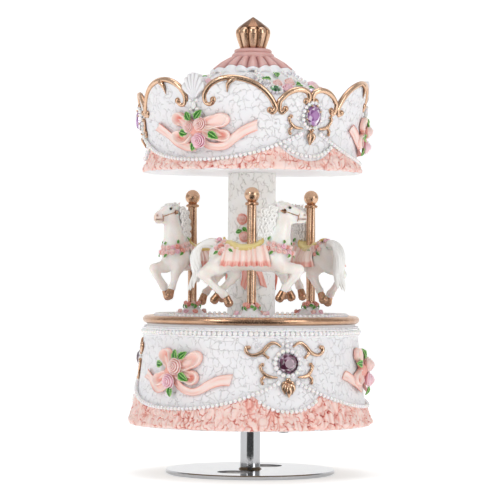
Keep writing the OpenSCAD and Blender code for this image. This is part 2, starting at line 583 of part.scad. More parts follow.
module crown_shells() color("ghostwhite") for (t = thirds) on_wall(crown_bow_a + t, 49, 164)
    linear_extrude(height = 2.6)
        polygon(concat([[-1.8, -4], [-1.6, 0]], shell_edge, [[1.6, 0], [1.8, -4]]));
module canopy_bows() color("pink") for (t = thirds) bow(crown_bow_a + t, crown_bow_z, crown_r(crown_bow_z));
module canopy_roses() color("pink") {
    for (t = thirds) bow_roses(crown_bow_a + t, crown_bow_z, crown_r(crown_bow_z));
    for (t = thirds) for (s = [[-7, 31], [7, 31], [0, 35.4]])
        rotate([0, 0, 7 + t]) translate([s[0], -s[1], roof_z(s[1]) - 0.3]) rotate([37, 0, 0]) rose(2.7);
}
module canopy_leaves() color("forestgreen") {
    for (t = thirds) bow_leaves(crown_bow_a + t, crown_bow_z, crown_r(crown_bow_z));
    for (t = thirds) for (s = [-1, 1]) rotate([0, 0, 7 + t])
        translate([s * 4.4, -37.6, roof_z(37.6) + 0.6]) rotate([37, 0, 0])
            rotate([0, 0, 270 + 40 * s]) leaf(4.6);
}
function shrink(path, k) = [for (p = path) p * k];
module canopy_scrolls() color("peru") for (t = thirds)
    jewel_scrolls(crown_jewel_a + t, crown_jewel_z, crown_r(crown_jewel_z) - 0.3,
        [shrink(lower_scroll, 0.92), shrink(lower_branch, 0.92)], 9.4);
module canopy_gems() color("orchid") {
    for (t = thirds) on_wall(crown_jewel_a + t, crown_r(crown_jewel_z) + 0.2, crown_jewel_z) gem(3.3);
    for (t = thirds) rotate([0, 0, crown_jewel_a + t])
        translate([0, -36, roof_z(36)]) rotate([38, 0, 0]) gem(2.6);
}
module canopy_gem_pearls() color("white") {
    for (t = thirds)
        on_wall(crown_jewel_a + t, crown_r(crown_jewel_z) + 0.1, crown_jewel_z) gem_pearls(4.6, 1.8, 14);
    for (t = thirds) rotate([0, 0, crown_jewel_a + t])
        translate([0, -36, roof_z(36)]) rotate([38, 0, 0]) gem_pearls(3.8, 1.6, 12);
}
// Height of the roof's upper face at radius r
roof_rim = 46;
roof_neck = 15;
function roof_z(r) = roof_low + (roof_high - roof_low) * (roof_rim - r) / (roof_rim - roof_neck) + 1.6;
module roof() color("ghostwhite") rotate_extrude()
    polygon([[roof_rim - 0.6, roof_low], [roof_rim - 0.1, roof_low + 1.6], [roof_neck, roof_high + 1.6],
        [9, 184.3], [0, 184.3], [0, 182.2], [8, 182.2], [roof_neck, roof_high - 0.6]]);
module roof_skirt() color("lightpink") ring_of([for (i = [0 : 95])
    let (puff = 0.5 + 0.5 * cos(i * 60), drop = 0.7 * cos(i * 30))
    [[8.6, 185.8], [12 + 0.4 * puff, 184.2 + puff * 0.4], [18 + 0.6 * puff, 179.4 + puff * 0.6 + drop],
        [17.4 + 0.4 * puff, 178.8 + drop], [11.6, 183.3], [8.6, 184.9]]]);
module finial_collar() color("lightpink") rotate_extrude() {
    translate([0, 184.4]) square([7.6, finial_z - 184.4]);
    translate([7.9, 186.1]) circle(r = 1.7);
    translate([7.4, 188.5]) circle(r = 1);
}
// A faceted gem-shaped knob: tapered flutes under a low pyramid
module finial() color("peru") {
    translate([0, 0, finial_z]) cylinder(h = 6.8, r1 = 6.2, r2 = 8, $fn = 10);
    translate([0, 0, finial_z + 6.8]) cylinder(h = 2.5, r1 = 8, r2 = 7.2, $fn = 10);
    translate([0, 0, finial_z + 9.3]) cylinder(h = 5.1, r1 = 7.2, r2 = 0.4, $fn = 10);
}

// ---- what is drawn ----

stand_disc();
stand_stem();
winding_arbor();
crown_wheel();
base_drum();
base_ruffle();
base_bottom_plate();
bottom_screws();
base_pearl_rope();
base_pearl_swags();
base_bows();
base_roses();
base_leaves();
base_scrolls();
base_gems();
base_gem_pearls();
platform();
gold_rim();
platform_pearls();
movement_bedplate();
arbor_bush();
spring_housing();
mainspring();
comb();
comb_screws();
governor_post();
pin_cylinder();
cylinder_wheels();
governor_wheel();
governor_worm();
governor_fan();
column();
column_spray();
pole_mounds();
mound_roses();
pole_at(0);  // pole_front
pole_at(120);  // pole_right
pole_at(240);  // pole_left
horse(0);  // horse_front
horse(1);  // horse_right
horse(2);  // horse_left
saddles();
saddle_cloths();
horse_garlands();
canopy_ceiling();
canopy_crown();
canopy_ruffle();
canopy_pearl_swags();
crown_trim();
crown_shells();
canopy_bows();
canopy_roses();
canopy_leaves();
canopy_scrolls();
canopy_gems();
canopy_gem_pearls();
roof();
roof_skirt();
finial_collar();
finial();
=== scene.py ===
import math
from itertools import product

import bpy
import numpy as np
from mathutils import Matrix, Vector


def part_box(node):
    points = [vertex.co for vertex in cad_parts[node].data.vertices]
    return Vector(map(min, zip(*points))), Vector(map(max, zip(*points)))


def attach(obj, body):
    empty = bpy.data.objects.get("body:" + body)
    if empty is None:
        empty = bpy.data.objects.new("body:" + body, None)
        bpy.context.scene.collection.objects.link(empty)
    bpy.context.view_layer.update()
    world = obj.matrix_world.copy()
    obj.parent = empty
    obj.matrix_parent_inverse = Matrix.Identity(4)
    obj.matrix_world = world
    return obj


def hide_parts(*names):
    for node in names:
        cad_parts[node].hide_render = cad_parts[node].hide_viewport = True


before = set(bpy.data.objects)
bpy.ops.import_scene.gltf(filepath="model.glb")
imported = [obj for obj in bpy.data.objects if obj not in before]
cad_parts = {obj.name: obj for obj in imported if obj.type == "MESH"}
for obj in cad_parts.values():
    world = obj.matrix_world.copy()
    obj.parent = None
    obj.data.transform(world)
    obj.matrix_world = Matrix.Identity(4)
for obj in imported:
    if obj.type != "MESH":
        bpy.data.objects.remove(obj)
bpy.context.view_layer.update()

MM = 0.001
THIRDS = (0, 120, 240)


def low(node):
    """The lowest corner of a CAD node, in millimetres."""
    return np.array(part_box(node)[0]) / MM


def high(node):
    """The highest corner of a CAD node, in millimetres."""
    return np.array(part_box(node)[1]) / MM


# ---- driving places, read from the frame ----

BASE_LOW = low("base_drum")[2]
DRUM_TOP = high("base_drum")[2]
PLATFORM = high("platform")[2]
CEILING = low("canopy_ceiling")[2]
ROOF_LOW = low("roof")[2]
COLLAR_LOW = low("finial_collar")[2]
FINIAL_LOW = low("finial")[2]
FINIAL_TOP = high("finial")[2]
COLUMN_R = high("column")[0]
POLE_TOP = high("pole_front")[2]
POLE_RING = -(low("pole_front")[1] + high("pole_front")[1]) / 2
BASE_JEWEL, BASE_BOW, BASE_SWAG = 18.6, -43.0, -41.4
CROWN_JEWEL, CROWN_BOW, CROWN_SWAG = 31.4, -30.0, -28.6
CROSSING = 42.4
HORSE_YAW = (0, 0, -14)


# ---- arrays of points ----

def around(azimuth, radius, z):
    """Points at an azimuth in degrees, a radius and a height."""
    a = np.radians(azimuth)
    return np.stack(np.broadcast_arrays(radius * np.sin(a), -radius * np.cos(a), z), -1).astype(float)


def bearings(count):
    """Azimuths spaced evenly all the way round."""
    return np.arange(count) * 360 / count


def angles(count):
    """Angles in radians, spaced evenly round a circle."""
    return np.linspace(0, 2 * np.pi, count, endpoint=False)


def ellipse(angle, across, up, out=0.0):
    """Points (along, up, out) on an ellipse."""
    return np.stack(np.broadcast_arrays(across * np.cos(angle), up * np.sin(angle), out), -1).astype(float)


def drum_r(z):
    """The drum's radius at a height. It flares towards the foot."""
    return 47.8 + 5.4 * np.maximum((DRUM_TOP - z) / (DRUM_TOP - BASE_LOW), 0) ** 1.8


def crown_r(z):
    """The crown's radius at a height. It flares up and down from a waist."""
    waist, waist_r = CEILING + 10, 46.6
    below = waist_r + 1.6 * ((waist - np.minimum(z, waist)) / 10) ** 2
    above = waist_r + 5 * (np.maximum(z - waist, 0) / 28) ** 1.1
    return np.where(np.asarray(z) < waist, below, above)


def column_r(z):
    """The column's radius, the same at every height."""
    return COLUMN_R - 0.15 + 0 * np.asarray(z, float)


def wrapped(flat, azimuth, z, wall):
    """Bends points (along, up, out) on to a round wall, centred at an azimuth and a height."""
    flat = np.asarray(flat, float)
    up = z + flat[..., 1]
    along = azimuth + np.degrees(flat[..., 0] / float(wall(np.float64(z))))
    return around(along, wall(up) + flat[..., 2], up)


def from_centre(azimuth, centre):
    """Signed angle to the nearest of three centres a third of a turn apart."""
    return (azimuth - centre + 60) % 120 - 60


def swag_rise(angle, span):
    """How far a swag has risen at an angle from its lowest point. It meets its neighbour at span."""
    return 6.6 * np.minimum(np.abs(angle) / span, 1.42) ** 2.2


def hem(azimuth, bottom, long_centre, jewel_centre):
    """Height of a ruffle's top edge: under the jewel it follows the short swag."""
    long_angle = from_centre(azimuth, long_centre)
    jewel_angle = from_centre(azimuth, jewel_centre)
    short = 60 - CROSSING
    return bottom + np.where(np.abs(jewel_angle) < short, swag_rise(jewel_angle, short),
                             swag_rise(long_angle, CROSSING))


def crown_top(azimuth):
    """Top edge of the crown: a notch behind each shell, a big arch, then a small arch at the jewel."""
    p = np.abs(from_centre(azimuth, CROWN_BOW))

    def arch(foot, height, middle, half):
        return foot + height * np.sqrt(np.maximum(1 - ((p - middle) / half) ** 2, 0))

    return np.select([p < 5, p < 19, p < 42, p < 54],
                     [163.2 + 0 * p, arch(163, 10, 19, 14), arch(154, 19, 19, 24), arch(155, 13.3, 54, 13)],
                     arch(162, 6.3, 54, 7))


def hashed(cells, seed):
    """A repeatable number from 0 to 1 for each whole-number cell."""
    low_32, low_24 = 0xFFFFFFFF, 0xFFFFFF
    x, y, z = np.moveaxis(cells.astype(np.int64), -1, 0)
    h = ((x * 73856093) ^ (y * 19349663) ^ (z * 83492791) ^ (seed * 2654435761)) & low_32
    for shift, factor in ((15, 2246822519), (13, 3266489917)):
        h = ((h ^ (h >> shift)) * factor) & low_32
    return ((h ^ (h >> 16)) & low_24) / float(low_24)


def chance(i, j, k, seed):
    """One repeatable number from 0 to 1."""
    return hashed(np.array([[i, j, k]]), seed)[0]


def cloud(points, seed=0):
    """Smooth noise from -1 to 1, with one feature a unit."""
    base = np.floor(points)
    part = points - base
    part = part * part * (3 - 2 * part)
    total = 0
    for corner in product((0, 1), repeat=3):
        weight = np.prod(np.where(np.array(corner) == 1, part, 1 - part), axis=-1)
        total = total + weight * hashed(base + corner, seed)
    return total * 2 - 1


def borders(points, seed=0):
    """Distance of each point from the border between two cells of a jittered lattice."""
    base = np.floor(points)
    near = np.full(points.shape[:-1], 9.0)
    second = near.copy()
    for step in product((-1, 0, 1), repeat=3):
        cell = base + step
        jitter = np.stack([hashed(cell, seed + k) for k in range(3)], -1)
        gap = np.linalg.norm(points - cell - 0.1 - 0.8 * jitter, axis=-1)
        second = np.minimum(second, np.maximum(near, gap))
        near = np.minimum(near, gap)
    return second - near


def crackle(points, width, height, radius, seed, line=0.14, gaps=0.35):
    """Thin wandering cracks on a round wall, from 0 on the plain surface to 1 in a crack."""
    count = round(2 * math.pi * radius / width)
    wander = [1.25 * cloud(points / 1.6, seed + k) + 0.3 * cloud(points / 0.7, seed + 7 + k) for k in (0, 1)]
    u = np.arctan2(points[..., 0], -points[..., 1]) / (2 * np.pi) * count + wander[0] / width
    v = (points[..., 2] + wander[1]) / height
    first, second = np.full(u.shape, 99.0), np.full(u.shape, 99.0)
    near, next_near = np.zeros(u.shape + (2,)), np.ones(u.shape + (2,))
    for step_u, step_v in product((-1, 0, 1), repeat=2):
        across, up = np.floor(u) + step_u, np.floor(v) + step_v
        cell = np.stack([across % count, up + 500, 0 * up], -1)
        spot = np.stack([(across + 0.1 + 0.8 * hashed(cell, seed) - u) * width,
                         (up + 0.1 + 0.8 * hashed(cell, seed + 1) - v) * height], -1)
        gap = np.linalg.norm(spot, axis=-1)
        nearest = gap < first
        runner = ~nearest & (gap < second)
        next_near = np.where(nearest[..., None], near, np.where(runner[..., None], spot, next_near))
        second = np.where(nearest, first, np.where(runner, gap, second))
        near, first = np.where(nearest[..., None], spot, near), np.minimum(gap, first)
    away = (second ** 2 - first ** 2) / (2 * np.linalg.norm(near - next_near, axis=-1) + 1e-6)
    return np.clip(1.5 - away / line, 0, 1) * np.clip((cloud(points / 1.8, seed + 9) + gaps) * 5, 0, 1)


def smooth_path(points, steps=6):
    """A Catmull-Rom curve through the points."""
    p = np.asarray(points, float)
    p = np.vstack([2 * p[0] - p[1], p, 2 * p[-1] - p[-2]])
    t = np.linspace(0, 1, steps, endpoint=False)[:, None]
    runs = []
    for a, b, c, d in zip(p, p[1:], p[2:], p[3:]):
        runs.append(0.5 * (2 * b + (c - a) * t + (2 * a - 5 * b + 4 * c - d) * t ** 2
                           + (3 * b - a - 3 * c + d) * t ** 3))
    return np.vstack(runs + [p[-2:-1]])


def unit(v):
    """Vectors scaled to a length of one."""
    v = np.asarray(v, float)
    return v / np.maximum(np.linalg.norm(v, axis=-1, keepdims=True), 1e-9)


def turn_z(degrees):
    """The matrix of a turn about the vertical axis."""
    a = math.radians(degrees)
    return np.array([[math.cos(a), -math.sin(a), 0], [math.sin(a), math.cos(a), 0], [0, 0, 1]])


def facing(azimuth, tilt=0.0):
    """Columns right, up and out for something on the wall, tipped back by tilt degrees."""
    a = math.radians(azimuth)
    t = math.radians(tilt)
    right = np.array([math.cos(a), math.sin(a), 0])
    out = np.array([math.sin(a) * math.cos(t), -math.cos(a) * math.cos(t), math.sin(t)])
    return np.stack([right, np.cross(out, right), out], 1)


# ---- shapes ----

def grid_faces(rows, columns, wrap_rows=False, wrap_columns=False):
    """Four-sided faces over a grid of points, stored row after row."""
    r = np.arange(rows if wrap_rows else rows - 1)[:, None]
    c = np.arange(columns if wrap_columns else columns - 1)[None, :]
    r2, c2 = (r + 1) % rows, (c + 1) % columns
    corners = [r * columns + c, r * columns + c2, r2 * columns + c2, r2 * columns + c]
    return np.stack(corners, -1).reshape(-1, 4)


class Shape:
    """Closed parts gathered, in millimetres, into one mesh. Each point has a tone from 0 to 1, which picks
    its colour from its finish's ramp and in many parts paints shade.
    """

    def __init__(self):
        self.points, self.faces, self.tones, self.kinds = [], [], [], []
        self.total = 0

    def add(self, points, faces, tone=0.0, kind=0):
        """Adds a closed part, its faces turned outwards. kind is its finish's place in the piece's list."""
        points = np.asarray(points, float).reshape(-1, 3)
        faces = [np.asarray(f, int) for f in faces if len(f)]
        middle = points.mean(0)
        volume = 0.0
        for f in faces:
            for k in range(1, f.shape[1] - 1):
                a, b, c = (points[f[:, corner]] - middle for corner in (0, k, k + 1))
                volume += np.einsum("ij,ij->", a, np.cross(b, c))
        for f in faces:
            self.faces.append((f if volume >= 0 else f[:, ::-1]) + self.total)
            self.kinds.append(np.full(len(f), kind))
        self.points.append(points)
        self.tones.append(np.broadcast_to(np.asarray(tone, float).reshape(-1), (len(points),)))
        self.total += len(points)

    def rings(self, rings, tone=0.0, kind=0, closed_path=False):
        """Skins rings of points, shaped (rings, points, 3), and closes both ends."""
        rings = np.asarray(rings, float)
        n, k = rings.shape[:2]
        points = rings.reshape(-1, 3)
        faces = [grid_faces(n, k, closed_path, True)]
        tone = np.broadcast_to(tone, (n, k)).reshape(-1)
        if not closed_path:
            points = np.vstack([points, rings[0].mean(0), rings[-1].mean(0)])
            tone = np.append(tone, [tone[:k].mean(), tone[-k:].mean()])
            i = np.arange(k)
            j = (i + 1) % k
            last = (n - 1) * k
            faces.append(np.stack([np.full(k, n * k), j, i], 1))
            faces.append(np.stack([np.full(k, n * k + 1), last + i, last + j], 1))
        self.add(points, faces, tone, kind)

    def copy(self, template, matrix, origin, kind=0):
        """Adds a (points, faces, tones) template, turned by a matrix and moved to an origin."""
        points, faces, tones = template
        self.add(points @ matrix.T + origin, faces, tones, kind)

    def ball(self, spot, radii, tone=0.0, kind=0):
        """Adds a small ball, or an egg where the three radii differ."""
        self.add(BALL[0] * radii + spot, BALL[1], tone, kind)


def tube(shape, path, radius, sides=10, flat=1.0, out=None, tone=0.0, kind=0, edge=0.0):
    """Sweeps a round or flattened section along a path, with rounded ends. edge paints shade on it away from
    its crest, darkest on the far side.
    """
    path = np.asarray(path, float)
    radius = np.broadcast_to(np.asarray(radius, float), (len(path),))
    heading = unit(np.gradient(path, axis=0))
    end_in, end_out = heading[0] * radius[0], heading[-1] * radius[-1]
    path = np.vstack([path[0] - 0.8 * end_in, path[0] - 0.5 * end_in, path,
                      path[-1] + 0.5 * end_out, path[-1] + 0.8 * end_out])
    taper = np.array([0.45, 0.85])
    radius = np.concatenate([radius[0] * taper, radius, radius[-1] * taper[::-1]])
    heading = unit(np.vstack([heading[:1]] * 2 + [heading] + [heading[-1:]] * 2))
    if out is None:
        out = np.tile([0.0, 0.0, 1.0], (len(path), 1))
        out[np.abs(heading[:, 2]) > 0.9] = [0.0, 1.0, 0.0]
        first = unit(np.cross(heading[0], out[0]))
        sides_at = [first]
        for h in heading[1:]:
            sides_at.append(unit(sides_at[-1] - h * np.dot(sides_at[-1], h)))
        side = np.array(sides_at)
    else:
        out = np.asarray(out, float)
        out = np.vstack([out[:1]] * 2 + [out] + [out[-1:]] * 2) if out.ndim == 2 else out
        side = unit(np.cross(heading, out))
    lift = np.cross(side, heading)
    t = angles(sides)
    section = side[:, None] * np.cos(t)[None, :, None] + flat * lift[:, None] * np.sin(t)[None, :, None]
    tone = np.asarray(tone, float)
    if tone.ndim == 1:
        tone = np.concatenate([tone[:1], tone[:1], tone, tone[-1:], tone[-1:]])[:, None]
    # painted shade away from the crest
    tone = tone + edge * np.clip(0.7 - np.sin(t), 0, 1)
    shape.rings(path[:, None] + section * radius[:, None, None], tone, kind)


def outward(points):
    """The level direction away from the middle at each point."""
    flat = np.array(points, float)
    flat[..., 2] = 0
    return unit(flat)


def wall_tube(shape, flat_path, radius, azimuth, z, wall, flat=0.8, **more):
    """A smooth tube through (along, up, out) points on a wall, thinned or swollen by radii along it."""
    path = wrapped(smooth_path(flat_path), azimuth, z, wall)
    radius = np.interp(np.linspace(0, 1, len(path)), np.linspace(0, 1, len(radius)), radius)
    tube(shape, path, radius, flat=flat, out=outward(path), **more)


def ball_template(rows=8, sides=14):
    """A ball of unit radius."""
    v = np.linspace(0, np.pi, rows + 1)[1:-1, None]
    rings = ellipse(angles(sides), np.sin(v), np.sin(v), np.cos(v))
    n = len(v)
    points = np.vstack([rings.reshape(-1, 3), [[0, 0, 1]], [[0, 0, -1]]])
    i = np.arange(sides)
    j = (i + 1) % sides
    caps = [np.stack([np.full(sides, n * sides), i, j], 1),
            np.stack([np.full(sides, n * sides + 1), (n - 1) * sides + j, (n - 1) * sides + i], 1)]
    return points, [grid_faces(n, sides, False, True)[:, ::-1]] + caps, np.zeros(len(points))


BALL = ball_template()
FINE_BALL = ball_template(20, 32)


def revolve(shape, profile, sides=96, centre=(0, 0), tone=0.0, wobble=None):
    """Turns a closed (radius, height) outline round a vertical axis."""
    profile = np.asarray(profile, float)
    a = np.linspace(0, 360, sides, endpoint=False)
    rings = around(a[:, None], profile[None, :, 0], profile[None, :, 1])
    if wobble is not None:
        rings = rings + outward(rings) * wobble(rings)[..., None]
    shape.rings(rings + np.array([centre[0], centre[1], 0]), tone, closed_path=True)


def oval(radius, height, wide, tall, count):
    """The (radius, height) outline of a ring of oval section."""
    t = angles(count)
    return np.stack([radius + wide * np.cos(t), height + tall * np.sin(t)], -1)


def rounded(outline, radius):
    """Rounds the corners of a closed outline of (radius, height) points."""
    p = np.asarray(outline, float)
    made = []
    for before, here, after in zip(np.roll(p, 1, 0), p, np.roll(p, -1, 0)):
        behind, ahead = before - here, after - here
        cut = min(radius, 0.45 * np.linalg.norm(behind), 0.45 * np.linalg.norm(ahead))
        start, end = here + unit(behind) * cut, here + unit(ahead) * cut
        for t in np.linspace(0, 1, 4):
            made.append((1 - t) ** 2 * start + 2 * t * (1 - t) * here + t ** 2 * end)
    return np.array(made)


# ---- small ornaments ----

def rose_template(sides=48, fine=True):
    """A rose that faces +Z, of unit radius: rolled petal rims in rings round a heart."""
    a = angles(sides)
    rims = (0.17, 0.36, 0.57, 0.79, 1.0) if fine else (0.3, 0.64, 1.0)
    petals = (2, 3, 3, 4, 5) if fine else (2, 3, 5)
    edge, height = 0.02 + 0 * a, 0.8 + 0 * a
    rings, tones = [], []
    for k, (rim, count) in enumerate(zip(rims, petals)):
        shift = chance(k, 0, 3, 5) * 6.3
        bulge = np.abs(np.cos(count * (a - shift) / 2)) ** 0.45
        new_edge = rim * (0.86 + 0.14 * bulge)
        new_height = 1.02 - 0.72 * rim ** 2 - 0.1 * (1 - bulge)
        floor = np.minimum(height, new_height) - 0.24 - 0.05 * k / len(rims)
        start = np.maximum(edge - 0.03, 0.01)
        # Painted shade: each petal darkens from its rolled rim down into the gap below it.
        for s in ((0, 0.5, 0.85, 1.0) if fine else (0, 0.6, 1.0)):
            rings.append((start + (new_edge - start) * s, floor + (new_height - floor) * s ** 1.4))
            tones.append(0.95 * (1 - s) + 0 * a)
        rings.append((new_edge + 0.045, new_height - 0.03))
        tones.append(0.0 + 0 * a)
        edge, height = new_edge, new_height
    # The back of the rose is darker, as painted shade.
    rings.append((edge + 0.02, height * 0.5))
    tones.append(0.3 + 0 * a)
    rings.append((edge * 0.6, 0 * a - 0.25))
    tones.append(0.6 + 0 * a)
    points = np.stack([ellipse(a, r, r, h) for r, h in rings])
    made = Shape()
    made.rings(points, np.array(tones))
    return made.points[0], made.faces, made.tones[0]


ROSE = rose_template()
SMALL_ROSE = rose_template(18, False)


def leaf_template():
    """A toothed leaf of unit length along +X, folded on its midrib, with its face towards +Z."""
    teeth = 3.6
    t = np.linspace(0, 1, 19)[:, None]
    s = np.linspace(-1, 1, 9)[None, :]
    half = 0.33 * np.sin(np.pi * np.clip(t, 0.02, 0.995) ** 0.75) ** 0.8
    half = half * (1 - 0.34 * (t * teeth % 1) * (np.abs(s) > 0.6))
    top = np.stack(np.broadcast_arrays(t + 0.03 * np.abs(s), half * s,
                                       0.16 + 0.5 * half * np.abs(s) - 0.22 * t ** 2), -1)
    under = top[:, ::-1] - [0, 0, 0.12]
    veins = 0.25 * (np.sin(t * teeth * 6.28) > 0.6)
    # Lighter green on the raised edges, partly their colour and partly painted highlight, and along the
    # midrib and veins; the underside is half as light, as painted shade.
    bright = np.clip(1.1 * np.abs(s) ** 3 + 0.9 * (s == 0) + veins, 0, 1) + 0 * t
    made = Shape()
    made.rings(np.concatenate([top, under], 1), np.concatenate([bright, bright[:, ::-1] * 0.5], 1))
    return made.points[0], made.faces, made.tones[0]


LEAF = leaf_template()


def stone_template():
    """A brilliant-cut stone of unit radius that faces +Z."""
    eight = np.arange(8) * np.pi / 4
    sixteen = np.arange(16) * np.pi / 8

    def ring(angle, radius, z):
        return ellipse(angle, radius, radius, z)

    table, mid, girdle = ring(eight + np.pi / 8, 0.54, 0.42), ring(eight, 0.8, 0.27), ring(sixteen, 1.0, 0.0)
    lower, tip = ring(eight + np.pi / 8, 0.45, -0.36), np.array([[0, 0, -0.62]])
    points = np.vstack([table, mid, girdle, lower, tip])
    tris, table_face = [], [list(range(8))]
    for i in range(8):
        j = (i + 1) % 8
        m, n, g, after, k, o = 8 + i, 8 + j, 16 + 2 * i, 16 + (2 * i + 2) % 16, 32 + i, 32 + j
        tris += [[n, i, j], [m, i, n], [m, g, g + 1], [m, g + 1, n], [n, g + 1, after]]
        tris += [[g, k, g + 1], [g + 1, k, after], [k, o, after], [k, 40, o]]
    return points, [np.array(tris), np.array(table_face)], np.zeros(len(points))


STONE = stone_template()


def pearls(shape, centres, radius):
    """Pearls at the centres, each with a tone of its own."""
    centres = np.asarray(centres, float)
    radius = np.broadcast_to(radius, (len(centres),))
    for c, r, tone in zip(centres, radius, hashed(np.floor(centres * 7), 1)):
        shape.ball(c, r, tone)


def place(azimuth, radius, z, size, tilt=0.0, spin=0.0):
    """A (matrix, origin) that faces outwards on a wall."""
    matrix = facing(azimuth, tilt) @ turn_z(spin) * size
    return matrix, around(azimuth, radius, z)


RIBBON_THICK, RIBBON_CUP, RIBBON_SLANT = 0.55, 0.12, 0.9


def ribbon(shape, path, width, lean, azimuth, z, wall, steps=7, tone=0.0, kind=0):
    """A ribbon through (along, up, out) points on a wall. lean turns its face from outwards, 0, to
    sideways, 90."""
    path = smooth_path(path, steps)
    t = np.linspace(0, 1, len(path))
    width = np.interp(t, np.linspace(0, 1, len(width)), width)
    lean = np.radians(np.interp(t, np.linspace(0, 1, len(lean)), lean))
    heading = unit(np.gradient(path, axis=0))
    side = unit(np.cross([0.0, 0.0, 1.0], heading))
    lift = np.cross(heading, side)
    wide = side * np.cos(lean)[:, None] + lift * np.sin(lean)[:, None]
    face = np.cross(heading, wide)
    s = np.linspace(-1, 1, 7)
    curve = RIBBON_CUP * width[:, None] * (s ** 2 - 0.4)[None, :]
    middle = path[:, None] + wide[:, None] * (s[None, :] * width[:, None] / 2)[..., None]
    middle = middle + face[:, None] * curve[..., None]
    ripple = 0.16 * np.sin(s * 5.2)[None, :] * np.sin(t * 9 + 1)[:, None]
    middle = middle + face[:, None] * ripple[..., None]
    ends = np.clip((t - 0.9) / 0.1, 0, 1)
    middle = middle + heading[:, None] * (ends[:, None] * RIBBON_SLANT * s[None, :])[..., None]
    half = RIBBON_THICK / 2 * np.sqrt(np.maximum(1 - 0.8 * s ** 4, 0.05))[None, :, None]
    section = np.concatenate([middle + face[:, None] * half, (middle - face[:, None] * half)[:, ::-1]], 1)
    # Painted shade: darker at the curled edges, in the folds, near the knot and on the back.
    edge = np.clip(np.abs(s) ** 4 * 0.55 + tone, 0, 1)
    fold = np.clip(0.5 + 0.5 * np.sin(s * 5.2)[None, :] * np.sin(t * 7 + 2)[:, None], 0, 1) ** 3
    shaded = np.clip(edge + 0.5 * fold + 0.45 * np.exp(-t[:, None] / 0.2) * (s[None, :] < 0.2), 0, 1)
    shades = np.concatenate([shaded, np.clip(edge[::-1] + 0.55, 0, 1) + 0 * t[:, None]], 1)
    shape.rings(wrapped(section, azimuth, z, wall), shades, kind)


# ---- pieces and finishes ----

def piece(name, shape, body, surfaces, nodes=(), smooth=True):
    """One Blender mesh from a shape. It rides on a body and stands for CAD nodes."""
    mesh = bpy.data.meshes.new(name)
    points = np.vstack(shape.points) * MM
    loops = np.concatenate([f.reshape(-1) for f in shape.faces])
    sizes = np.concatenate([np.full(len(f), f.shape[1]) for f in shape.faces])
    mesh.vertices.add(len(points))
    mesh.vertices.foreach_set("co", points.reshape(-1).astype(np.float32))
    mesh.loops.add(len(loops))
    mesh.loops.foreach_set("vertex_index", loops.astype(np.int32))
    mesh.polygons.add(len(sizes))
    mesh.polygons.foreach_set("loop_start", (np.cumsum(sizes) - sizes).astype(np.int32))
    mesh.polygons.foreach_set("use_smooth", np.full(len(sizes), smooth))
    mesh.polygons.foreach_set("material_index", np.concatenate(shape.kinds).astype(np.int32))
    tone = mesh.attributes.new("tone", "FLOAT", "POINT")
    tone.data.foreach_set("value", np.concatenate(shape.tones).astype(np.float32))
    mesh.update(calc_edges=True)
    mesh.validate()
    for surface in surfaces if isinstance(surfaces, list) else [surfaces]:
        mesh.materials.append(surface)
    made = bpy.data.objects.new(name, mesh)
    bpy.context.scene.collection.objects.link(made)
    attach(made, body)
    if nodes:
        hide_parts(*nodes)
    return made


def finish(name, colours, rough=(0.35, 0.5), mottle=(1, 1, 1), mottle_scale=260, mottle_amount=0.5,
           grain=2600, bump=0.12, faceted=False, **sockets):
    """A procedural finish. Its colour runs along (tone, colour) stops, is mottled by a soft noise, and a fine
    grain varies its roughness and lifts its surface. Each facet of a faceted one takes a shade of its own
    from the way it faces, as a painted reflection.
    Sockets are the shader's constant values."""
    made = bpy.data.materials.new(name)
    made.use_nodes = True
    nodes, links = made.node_tree.nodes, made.node_tree.links
    shader = nodes["Principled BSDF"]

    def settle(node, values):
        for socket, value in values.items():
            node.inputs[socket.replace("_", " ")].default_value = value
        return node

    def new(kind, **values):
        return settle(nodes.new("ShaderNode" + kind), values)

    settle(shader, sockets)
    if faceted:
        facet, snap, tone = new("NewGeometry"), new("VectorMath"), new("TexWhiteNoise")
        snap.operation = "SNAP"
        snap.inputs[1].default_value = (0.06, 0.06, 0.06)
        links.new(facet.outputs["True Normal"], snap.inputs[0])
        links.new(snap.outputs["Vector"], tone.inputs["Vector"])
    else:
        tone = new("Attribute")
        tone.attribute_name = "tone"
    ramp = new("ValToRGB")
    stops = ramp.color_ramp.elements
    while len(stops) < len(colours):
        stops.new(1.0)
    for stop, (at, colour) in zip(stops, colours):
        stop.position = at
        stop.color = (*colour, 1)
    place_of = new("TexCoord")
    clouds = new("TexNoise", Scale=mottle_scale, Detail=5)
    fine = new("TexNoise", Scale=grain, Detail=3)
    amount = new("MapRange", From_Min=0.42, From_Max=0.7, To_Max=mottle_amount)
    roughness = new("MapRange", From_Min=0.3, From_Max=0.7, To_Min=rough[0], To_Max=rough[1])
    relief = new("Bump", Strength=bump, Distance=0.0003)
    tint = new("Mix")
    tint.data_type = "RGBA"
    tint.blend_type = "MULTIPLY"
    tint.inputs["B"].default_value = (*mottle, 1)
    for source, output, target, socket in (
            (tone, "Value" if faceted else "Fac", ramp, "Fac"),
            (place_of, "Object", clouds, "Vector"),
            (place_of, "Object", fine, "Vector"),
            (clouds, "Fac", amount, "Value"),
            (amount, "Result", tint, "Factor"),
            (ramp, "Color", tint, "A"),
            (tint, "Result", shader, "Base Color"),
            (fine, "Fac", roughness, "Value"),
            (roughness, "Result", shader, "Roughness"),
            (fine, "Fac", relief, "Height"),
            (relief, "Normal", shader, "Normal")):
        links.new(source.outputs[output], target.inputs[socket])
    return made


def resin(name, colours, rough, mottle, mottle_scale, mottle_amount, weight, depth, **more):
    """A finish that light sinks into, by a weight and to a depth in metres."""
    return finish(name, colours, rough, mottle, mottle_scale, mottle_amount,
                  Subsurface_Weight=weight, Subsurface_Scale=depth, **more)


